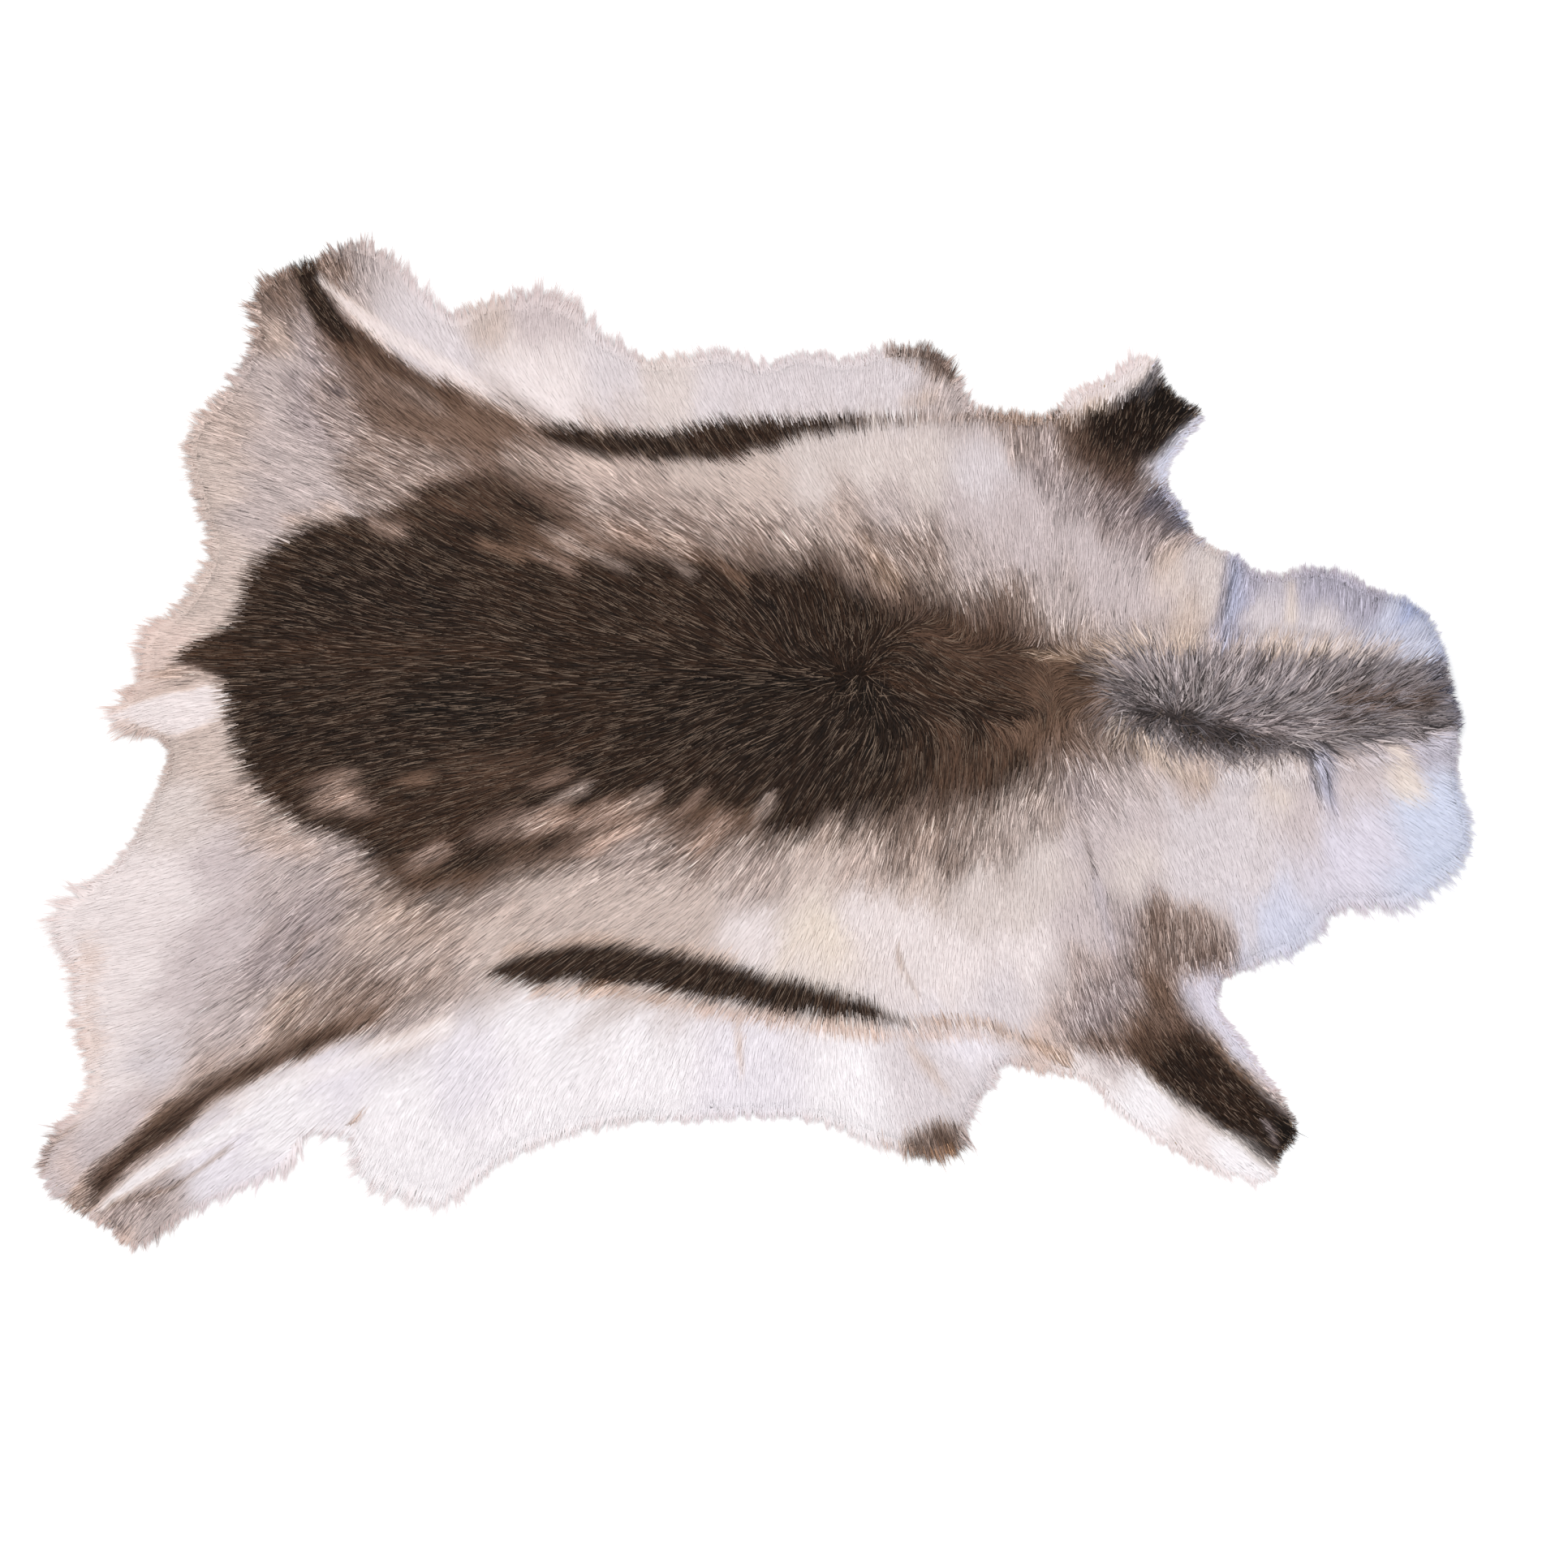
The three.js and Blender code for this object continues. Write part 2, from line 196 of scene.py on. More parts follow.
# The dark saddle's outline and how soft its edge is there. Columns: x, y, softness.
SADDLE = [
    (-525, 80, 8), (-505, 95, 8), (-485, 104, 8), (-474, 112, 8), (-468, 125, 8),
    (-466, 140, 10), (-459, 158, 12), (-443, 175, 14), (-427, 190, 14), (-405, 202, 14),
    (-370, 209, 14), (-345, 214, 14), (-325, 220, 16), (-305, 233, 16), (-290, 242, 18),
    (-262, 246, 20), (-240, 250, 24), (-215, 248, 34), (-195, 234, 44), (-178, 214, 50),
    (-150, 192, 44), (-100, 186, 38), (-50, 181, 34), (-10, 173, 32), (20, 173, 32),
    (60, 178, 34), (95, 163, 46), (130, 148, 54), (165, 140, 54), (200, 134, 50),
    (240, 122, 50), (270, 104, 44), (292, 92, 34), (312, 80, 30), (320, 60, 30),
    (316, 22, 44), (304, 4, 56), (280, -17, 64), (240, -37, 66), (200, -57, 62),
    (150, -71, 56), (100, -70, 48), (60, -80, 38), (30, -84, 32), (0, -82, 32),
    (-40, -76, 36), (-80, -70, 40), (-120, -66, 44), (-150, -72, 44), (-180, -94, 40),
    (-200, -108, 36), (-225, -122, 34), (-262, -136, 32), (-300, -138, 30),
    (-336, -122, 26), (-351, -103, 22), (-364, -88, 18), (-382, -79, 16),
    (-412, -70, 14), (-438, -50, 14), (-461, -30, 14), (-473, 0, 12), (-476, 20, 8),
    (-479, 40, 8), (-484, 60, 8), (-488, 70, 8), (-503, 72, 8),
]

# The saddle's own darker and browner parts. Columns: name, tone, softness, strength,
# line of (x, y, width).
SADDLE_TONES = [
    ("rump above", "sable", 50, 0.95, [(-430, 110, 30), (-370, 140, 60), (-290, 140, 70)]),
    ("rump below", "sable", 50, 0.8, [(-450, 30, 30), (-380, 10, 50), (-330, 0, 40)]),
    ("rump brown", "saddle_brown", 40, 0.9, [
        (-430, -35, 20), (-340, -60, 40), (-290, -70, 70), (-250, -50, 70), (-215, -60, 40)]),
    ("rump pale rim", "umber", 34, 0.75, [
        (-335, -104, 18), (-300, -122, 26), (-255, -122, 30), (-215, -100, 28)]),
    ("hip pale rim", "cocoa", 30, 0.8, [(-318, 214, 12), (-290, 228, 16), (-220, 238, 24)]),
    ("spine brown", "saddle_brown", 24, 0.8, [
        (-500, 88, 16), (-440, 88, 18), (-350, 80, 30), (-290, 84, 20), (-240, 92, 10)]),
    ("spine dark", "peat", 34, 0.9, [(-310, 38, 30), (-270, 56, 44), (-248, 26, 40)]),
    ("waist", "bistre", 40, 0.8, [(-200, 140, 50), (-170, 60, 60), (-190, 10, 50)]),
    ("waist brown", "cocoa", 34, 0.7, [(-250, -22, 20), (-190, -22, 16), (-150, -32, 12)]),
    ("upper flank", "umber", 30, 0.85, [
        (-205, 186, 20), (-150, 190, 30), (-100, 190, 28), (-50, 186, 18), (-15, 186, 8)]),
    ("lower flank", "umber", 30, 0.8, [
        (-180, -62, 26), (-140, -54, 26), (-90, -56, 22), (-40, -66, 14), (0, -76, 10)]),
    ("spine crease", "peat", 22, 0.85, [
        (-130, 66, 14), (-80, 58, 20), (0, 56, 24), (60, 56, 22), (100, 48, 36), (132, 24, 30)]),
    ("loin", "peat", 60, 0.6, [(-80, 24, 50), (30, 16, 90), (110, 4, 70)]),
    ("loin above", "sable", 46, 0.6, [(0, 140, 30), (40, 100, 50), (90, 90, 50)]),
    ("loin rim", "cocoa", 24, 0.7, [(60, 166, 10), (100, 146, 18), (150, 124, 24)]),
    ("withers", "cocoa", 50, 0.95, [
        (150, 100, 36), (200, 100, 60), (240, 78, 50), (270, 60, 40)]),
    ("withers middle", "saddle_brown", 26, 0.8, [(145, 62, 20), (190, 56, 24), (230, 50, 20)]),
    ("withers below", "cocoa", 44, 0.9, [(150, -40, 30), (200, -24, 40), (240, 0, 40)]),
    ("withers end", "umber", 40, 0.9, [(286, 74, 40), (294, 44, 50), (266, -4, 40)]),
    ("withers rim", "brown_taupe", 34, 0.6, [(240, 122, 16), (290, 96, 14)]),
    ("withers crease", "sable", 10, 0.85, [
        (128, 30, 16), (180, 29, 13), (222, 22, 14), (262, 18, 8)]),
]

# Markings with an outline of their own, painted in this order.
# Columns: name, tone, how soft the edge is, strength, outline.
PATCHES = [
    ("tail flap", "milk", 8, 1.0, [
        (-590, 28), (-562, 44), (-538, 52), (-514, 55), (-500, 64), (-488, 58), (-484, 40),
        (-490, 22), (-520, 12), (-550, 14)]),
    ("mane", "mane_grey", 14, 0.95, [
        (318, 50), (322, 74), (345, 88), (420, 86), (500, 82), (580, 84), (625, 80),
        (645, 60), (648, 30), (625, 14), (590, 6), (540, 0), (500, -8), (440, -12),
        (390, -4), (355, 12), (325, 28)]),
    ("upper thigh wedge", "umber", 36, 0.9, [
        (-398, 392), (-375, 380), (-345, 356), (-305, 332), (-265, 310), (-225, 296),
        (-205, 288), (-225, 280), (-265, 278), (-305, 274), (-345, 288), (-368, 330)]),
    ("upper shank", "ash_taupe", 60, 0.5, [
        (215, 302), (300, 304), (345, 300), (356, 236), (340, 222), (302, 248), (262, 278),
        (238, 286)]),
    ("upper knee", "cocoa", 34, 0.95, [
        (280, 298), (330, 308), (362, 300), (368, 240), (352, 218), (322, 228), (296, 264)]),
    ("upper shin", "sable", 26, 1.0, [
        (300, 306), (330, 316), (354, 332), (368, 344), (380, 334), (396, 320), (414, 308),
        (400, 298), (388, 286), (376, 270), (366, 260), (340, 264), (312, 282)]),
    ("upper shin end", "peat", 12, 1.0, [
        (352, 312), (368, 342), (380, 334), (396, 320), (414, 308), (398, 300), (372, 292)]),
    ("upper elbow shade", "ash_taupe", 40, 0.8, [
        (300, 232), (345, 240), (385, 220), (398, 200), (360, 196), (320, 204)]),
    ("upper elbow", "slate", 16, 0.85, [
        (352, 238), (372, 228), (392, 218), (400, 204), (388, 200), (372, 210), (356, 222)]),
    ("lower shank", "ash_taupe", 44, 0.75, [
        (290, -264), (330, -262), (380, -235), (380, -200), (340, -180), (312, -196),
        (296, -230)]),
    ("lower elbow", "brown_taupe", 24, 0.85, [
        (352, -152), (372, -147), (400, -150), (420, -161), (434, -176), (430, -192),
        (408, -198), (392, -204), (384, -218), (360, -222), (345, -205), (352, -180),
        (348, -160)]),
    ("lower knee", "umber", 26, 0.95, [
        (302, -272), (330, -254), (352, -234), (358, -212), (380, -216), (396, -244),
        (424, -270), (398, -304), (366, -304), (330, -284)]),
    ("lower knee middle", "cocoa", 24, 0.9, [
        (330, -276), (360, -252), (404, -256), (422, -280), (410, -314), (372, -302)]),
    ("lower shin", "bistre", 16, 1.0, [
        (376, -270), (402, -262), (416, -268), (440, -290), (468, -314), (492, -332),
        (508, -350), (498, -384), (476, -376), (440, -350), (412, -336), (384, -322),
        (358, -294)]),
    ("lower thigh brown", "brown_taupe", 40, 0.45, [
        (-440, -262), (-400, -240), (-350, -222), (-300, -210),
        (-280, -208), (-320, -232), (-360, -250), (-400, -268)]),
    ("upper belly tuft", "umber", 14, 0.85, [
        (112, 366), (140, 356), (162, 344), (184, 332), (190, 344), (176, 362), (150, 370)]),
    ("lower belly tuft", "umber", 14, 0.9, [
        (130, -366), (140, -352), (165, -342), (190, -338), (198, -350), (190, -376),
        (160, -382), (136, -376)]),
    ("upper leg tuft", "brown_taupe", 9, 0.85, [
        (-402, 436), (-385, 450), (-366, 446), (-366, 430), (-382, 424)]),
]

# Stripes and streaks, with the painted shade and painted cool light marked below. Columns: name, tone,
# how soft the edge is, strength, line of (x, y, width).
STROKES = [
    ("upper flank stripe", "bistre", 9, 1.0, [
        (-192, 290, 9), (-170, 285, 20), (-140, 280, 27), (-110, 276, 29), (-80, 274, 30),
        (-50, 278, 32), (-20, 283, 33), (0, 287, 29), (25, 291, 24), (50, 295, 21),
        (75, 298, 16), (100, 300, 10), (130, 301, 5), (150, 303, 4)]),
    ("upper flank line", "brown_taupe", 4, 0.7, [
        (90, 301, 3), (150, 303, 3), (190, 303, 5), (240, 300, 8), (285, 300, 9)]),
    ("upper leg rim", "tan", 8, 0.6, [(205, 305, 4), (240, 301, 6), (285, 301, 8)]),
    ("lower flank stripe", "bistre", 9, 1.0, [
        (-240, -204, 7), (-200, -201, 30), (-160, -196, 35), (-120, -197, 38),
        (-90, -202, 39), (-60, -208, 39), (-30, -214, 37), (0, -221, 34), (30, -228, 30),
        (60, -233, 24), (90, -238, 18), (110, -243, 13), (130, -249, 10), (150, -252, 6)]),
    ("lower flank line", "tan", 6, 0.7, [(140, -250, 5), (180, -250, 8), (215, -252, 6)]),
    ("upper thigh edge", "umber", 12, 0.85, [
        (-366, 376, 22), (-340, 356, 24), (-318, 342, 24), (-298, 331, 22), (-270, 316, 20),
        (-250, 308, 16), (-225, 300, 10)]),
    ("upper thigh brown", "cocoa", 10, 0.9, [
        (-385, 394, 22), (-366, 376, 22), (-340, 357, 18), (-318, 343, 16), (-298, 333, 12),
        (-270, 319, 6)]),
    ("upper thigh stripe", "bistre", 9, 1.0, [
        (-412, 440, 22), (-400, 412, 30), (-388, 394, 30), (-372, 380, 16)]),
    ("lower thigh edge", "umber", 10, 0.8, [
        (-614, -414, 22), (-596, -393, 26), (-562, -364, 24), (-532, -341, 27),
        (-512, -325, 27), (-494, -310, 27), (-470, -297, 25), (-442, -285, 24),
        (-422, -276, 25), (-400, -266, 24), (-370, -254, 18), (-345, -244, 9)]),
    ("lower thigh stripe", "saddle_brown", 12, 0.9, [
        (-606, -416, 8), (-594, -396, 12), (-562, -367, 12), (-532, -344, 20),
        (-512, -328, 20), (-494, -313, 15), (-470, -300, 12), (-442, -288, 12),
        (-400, -269, 12), (-376, -258, 7)]),
    ("tail stripe", "saddle_brown", 7, 0.85, [(-518, 82, 8), (-500, 86, 20), (-480, 85, 30)]),
    ("tail top", "taupe", 8, 0.7, [(-548, 64, 6), (-522, 72, 12), (-505, 72, 8)]),
    ("mane crest", "mane_dark", 12, 0.85, [
        (352, 32, 12), (385, 26, 22), (410, 14, 24), (440, 8, 18), (472, 4, 12)]),
    ("mane end", "mane_dark", 18, 0.7, [(520, 24, 14), (560, 30, 20), (600, 50, 18), (632, 55, 14)]),
    ("mane silver", "mane_silver", 20, 0.65, [
        (338, 70, 16), (370, 72, 26), (400, 72, 30), (450, 70, 26), (500, 62, 20)]),
    ("mane brown", "umber", 20, 0.7, [(540, 40, 26), (580, 44, 30), (610, 44, 24)]),
    ("mane band", "ash_taupe", 8, 0.7, [(425, 32, 6), (455, 24, 10), (490, 22, 9), (525, 28, 6)]),
    # Painted cool light at the neck's end, over the mane's dark end and the pale neck beside it.
    ("mane end blue", "ink", 14, 0.6, [(606, 78, 6), (622, 62, 12), (636, 38, 22), (642, 14, 18)]),
    ("neck end blue", "sky_grey", 20, 0.75, [(598, 134, 12), (612, 110, 24), (622, 84, 18)]),
    ("neck end fleck", "warm_cream", 22, 0.8, [(582, -8, 20), (594, -34, 24)]),
    ("mane upper edge", "sand", 12, 0.5, [(260, 84, 8), (340, 92, 8), (480, 88, 10), (600, 86, 10)]),
    # A grey tuft below the mane, with painted bluish shade in its fold and darker lines of painted
    # shade.
    ("blue tuft", "sky_grey", 14, 0.6, [(512, -6, 12), (518, -35, 18), (530, -60, 8)]),
    ("blue tuft wisp", "slate", 4, 0.7, [(504, -6, 4), (509, -28, 4), (514, -48, 3)]),
    ("blue tuft second wisp", "ink", 5, 0.6, [(514, -4, 4), (523, -34, 5), (530, -62, 3)]),
    ("crest sand", "warm_cream", 18, 0.5, [(330, 20, 10), (372, -12, 14), (405, -28, 22)]),
    ("sand under crest", "warm_cream", 16, 0.35, [(462, -26, 10), (482, -50, 14)]),
    # Painted shade in the neck's fold, bluish, with darker lines of painted shade along its core.
    ("neck crease", "sky_grey", 18, 0.75, [(440, 178, 12), (434, 130, 12), (428, 95, 6)]),
    ("neck crease core", "ink", 4, 0.7, [(438, 172, 3), (431, 140, 5), (426, 98, 3)]),
    ("neck crease wisp", "ink", 4, 0.5, [(429, 168, 2), (425, 142, 4), (420, 115, 2)]),
    ("neck sand", "warm_cream", 10, 0.7, [(488, 150, 8), (488, 120, 12)]),
    ("shoulder sand", "warm_cream", 44, 0.4, [(385, 165, 10), (395, 130, 16), (385, 105, 10)]),
    ("withers tan", "tan", 14, 0.5, [(262, 84, 6), (300, 88, 10), (325, 88, 6)]),
    # Painted shade in a crease of the shoulder and below it.
    ("shoulder crease", "slate", 3, 0.6, [(302, -82, 3), (308, -98, 5), (311, -118, 4)]),
    ("shoulder crease shade", "lilac", 16, 0.5, [(312, -120, 8), (322, -160, 12), (328, -185, 12)]),
    # Painted shade in small creases of the flank and belly.
    ("flank crease", "umber", 3, 0.5, [(130, -182, 2), (134, -200, 4), (150, -226, 3)]),
    ("belly crease", "pale_fawn", 4, 0.7, [(-18, -242, 2), (-14, -262, 4), (-10, -298, 2)]),
    ("belly streak", "pale_fawn", 12, 0.8, [(142, -272, 8), (160, -290, 14), (176, -312, 10)]),
    ("upper leg white", "milk", 12, 0.95, [
        (292, 314, 10), (318, 326, 18), (345, 346, 20), (356, 360, 14)]),
    ("upper leg sand", "sand", 12, 0.3, [(282, 306, 5), (300, 310, 9), (318, 316, 6)]),
    # Painted shade on the white fur at the leg's tip.
    ("upper leg tip", "shadow_dove", 10, 0.4, [(300, 322, 5), (330, 346, 8), (358, 366, 8)]),
    # Painted cool light along the elbow's rim; the shin's white below is the hair's own with a painted
    # cool cast.
    ("upper elbow rim", "sky_grey", 8, 0.7, [(376, 246, 6), (394, 214, 7), (412, 190, 8)]),
    ("upper shin white", "blue_white", 4, 1.0, [
        (408, 300, 8), (394, 282, 12), (382, 266, 12), (376, 248, 13)]),
    ("lower knee tan", "tan", 8, 0.75, [
        (170, -251, 5), (210, -252, 8), (230, -260, 10), (252, -269, 10), (285, -285, 6)]),
    ("lower knee foot", "cocoa", 16, 0.6, [(304, -266, 6), (335, -271, 14), (362, -282, 18)]),
    ("lower shin tan", "tan", 6, 0.45, [(410, -256, 3), (436, -286, 5), (466, -312, 3)]),
    ("lower shin tip", "peat", 7, 1.0, [(482, -344, 18), (492, -352, 24)]),
    ("lower shin silver", "mane_silver", 5, 0.6, [(466, -340, 5), (473, -350, 6), (476, -360, 4)]),
    # The lower shin's white, the hair's own with a painted cool cast.
    ("lower shin white", "cool_pearl", 8, 0.95, [
        (406, -216, 12), (418, -234, 22), (434, -256, 20), (456, -284, 14), (474, -306, 6)]),
    ("elbow core", "sable", 12, 0.3, [(358, -150, 10), (366, -158, 10)]),
    ("elbow core right", "sable", 14, 0.3, [(406, -190, 14), (422, -186, 8)]),
    ("white thigh streak", "milk", 6, 0.9, [
        (-394, 428, 5), (-368, 404, 12), (-342, 384, 16), (-298, 358, 12), (-248, 332, 8)]),
    ("white shin streak", "belly_white", 6, 0.95, [
        (-592, -418, 6), (-560, -391, 11), (-500, -358, 15), (-450, -330, 15)]),
    ("sole shade", "ash_taupe", 20, 0.5, [
        (-590, -432, 14), (-572, -420, 12), (-548, -410, 5)]),
    ("sole wisps", "ash_taupe", 8, 0.5, [(-584, -424, 8), (-574, -440, 8), (-572, -454, 6)]),
    ("groin white", "belly_white", 14, 0.8, [
        (-470, -324, 8), (-430, -308, 12), (-380, -290, 14), (-330, -272, 14), (-285, -254, 10)]),
    ("lower flank rim", "rufous", 8, 0.45, [
        (-200, -222, 6), (-120, -222, 8), (-40, -240, 8), (40, -252, 8), (120, -262, 8),
        (200, -262, 8), (250, -272, 6)]),
    ("lower flank upper rim", "tan", 10, 0.35, [
        (-225, -186, 6), (-160, -175, 8), (-90, -178, 8), (-20, -193, 8)]),
    ("thigh sand", "tan", 30, 0.3, [
        (-545, -326, 8), (-480, -280, 16), (-430, -252, 16), (-380, -228, 12)]),
    ("flank light", "cream", 44, 0.3, [(-430, -172, 24), (-320, -172, 30), (-220, -152, 26)]),
    ("flank light above", "cream", 30, 0.35, [(-215, 260, 8), (-150, 256, 14)]),
    ("thigh shade", "taupe", 30, 0.5, [(-400, 322, 14), (-376, 296, 24)]),
    ("upper hind rim", "brown_taupe", 10, 0.6, [(-464, 402, 8), (-450, 424, 10), (-420, 442, 10)]),
    ("upper hind light", "cream", 20, 0.4, [(-438, 394, 10), (-428, 370, 12)]),
    ("hip sand", "tan", 18, 0.4, [(-424, 206, 8), (-384, 216, 10)]),
    ("rump sand", "tan", 26, 0.3, [
        (-440, -80, 12), (-385, -104, 16), (-350, -132, 16), (-300, -162, 12)]),
    ("hind rim", "rosy_cream", 22, 0.5, [
        (-608, -170, 10), (-604, -300, 14), (-630, -374, 16), (-604, -422, 10), (-570, -450, 10)]),
    ("sole line", "umber", 4, 0.6, [(-585, -416, 4), (-530, -401, 3), (-505, -384, 4), (-480, -366, 3)]),
    ("leg rim", "umber", 6, 0.8, [(-648, -384, 5), (-646, -368, 8), (-634, -354, 6), (-622, -346, 3)]),
    # Painted shade in dimples of the thigh.
    ("upper thigh dimple", "slate", 5, 0.6, [(-388, 328, 4), (-374, 325, 6)]),
    ("lower thigh dimple", "slate", 4, 0.6, [(-500, -205, 2), (-497, -222, 4), (-498, -238, 2)]),
    ("thigh wisps", "umber", 7, 0.5, [(-420, -148, 6), (-405, -172, 9), (-422, -200, 8)]),
    ("thigh wisps below", "slate", 4, 0.4, [(-556, -270, 2), (-550, -282, 5)]),
    ("tuft core", "bistre", 9, 0.6, [(172, -356, 8), (182, -364, 6)]),
    ("tuft tips", "rufous", 9, 0.85, [
        (120, -364, 7), (140, -374, 9), (168, -379, 9), (190, -370, 7)]),
    ("tuft core above", "mane_dark", 8, 0.6, [(150, 362, 5), (168, 354, 7), (184, 338, 6)]),
    ("belly sand above", "sand", 16, 0.4, [(140, 318, 8), (165, 322, 10), (178, 312, 6)]),
    ("orange fleck", "rufous", 4, 0.8, [(-366, -341, 4), (-358, -335, 4)]),
]

# Light mottles over the dark back. Columns: x, y, length, width, heading, tone, strength.
MOTTLES = [
    (-383, -45, 18, 34, 190, "rosy_fawn", 0.9), (-362, -54, 14, 18, 190, "taupe", 0.4),
    (-335, 203, 24, 16, 160, "rosy_fawn", 0.6), (-310, -30, 22, 20, 195, "umber", 0.8),
    (-299, -101, 28, 22, 200, "brown_taupe", 0.9), (-193, -64, 20, 24, 200, "rosy_fawn", 0.55),
    (-168, -42, 28, 18, 200, "fawn", 0.6), (-148, -62, 30, 22, 205, "rosy_fawn", 0.4),
    (-130, -84, 44, 20, 205, "rosy_fawn", 0.5), (-104, -48, 20, 16, 210, "fawn", 0.4),
    (-178, 192, 24, 18, 150, "fawn", 0.35), (-186, 172, 34, 14, 155, "brown_taupe", 0.8),
    (-140, 174, 46, 14, 155, "fawn", 0.3), (-116, 196, 36, 18, 150, "rosy_fawn", 0.2),
    (-74, 172, 36, 12, 145, "fawn", 0.3), (-24, 164, 28, 10, 140, "umber", 0.8),
    (-232, 182, 36, 14, 160, "umber", 0.8), (-218, 206, 22, 14, 160, "umber", 0.5),
    (-80, 194, 34, 14, 150, "fawn", 0.4), (8, -58, 20, 14, 235, "fawn", 0.5),
    (-60, -52, 24, 12, 220, "brown_taupe", 0.6), (-40, -78, 30, 16, 225, "rosy_fawn", 0.4),
    (60, -84, 30, 18, 240, "fawn", 0.4), (150, -102, 36, 26, 250, "fawn", 0.5),
    (110, 176, 40, 24, 120, "tan", 0.5), (-230, -74, 44, 26, 200, "taupe", 0.4),
    (-186, -30, 30, 16, 200, "brown_taupe", 0.6),
]

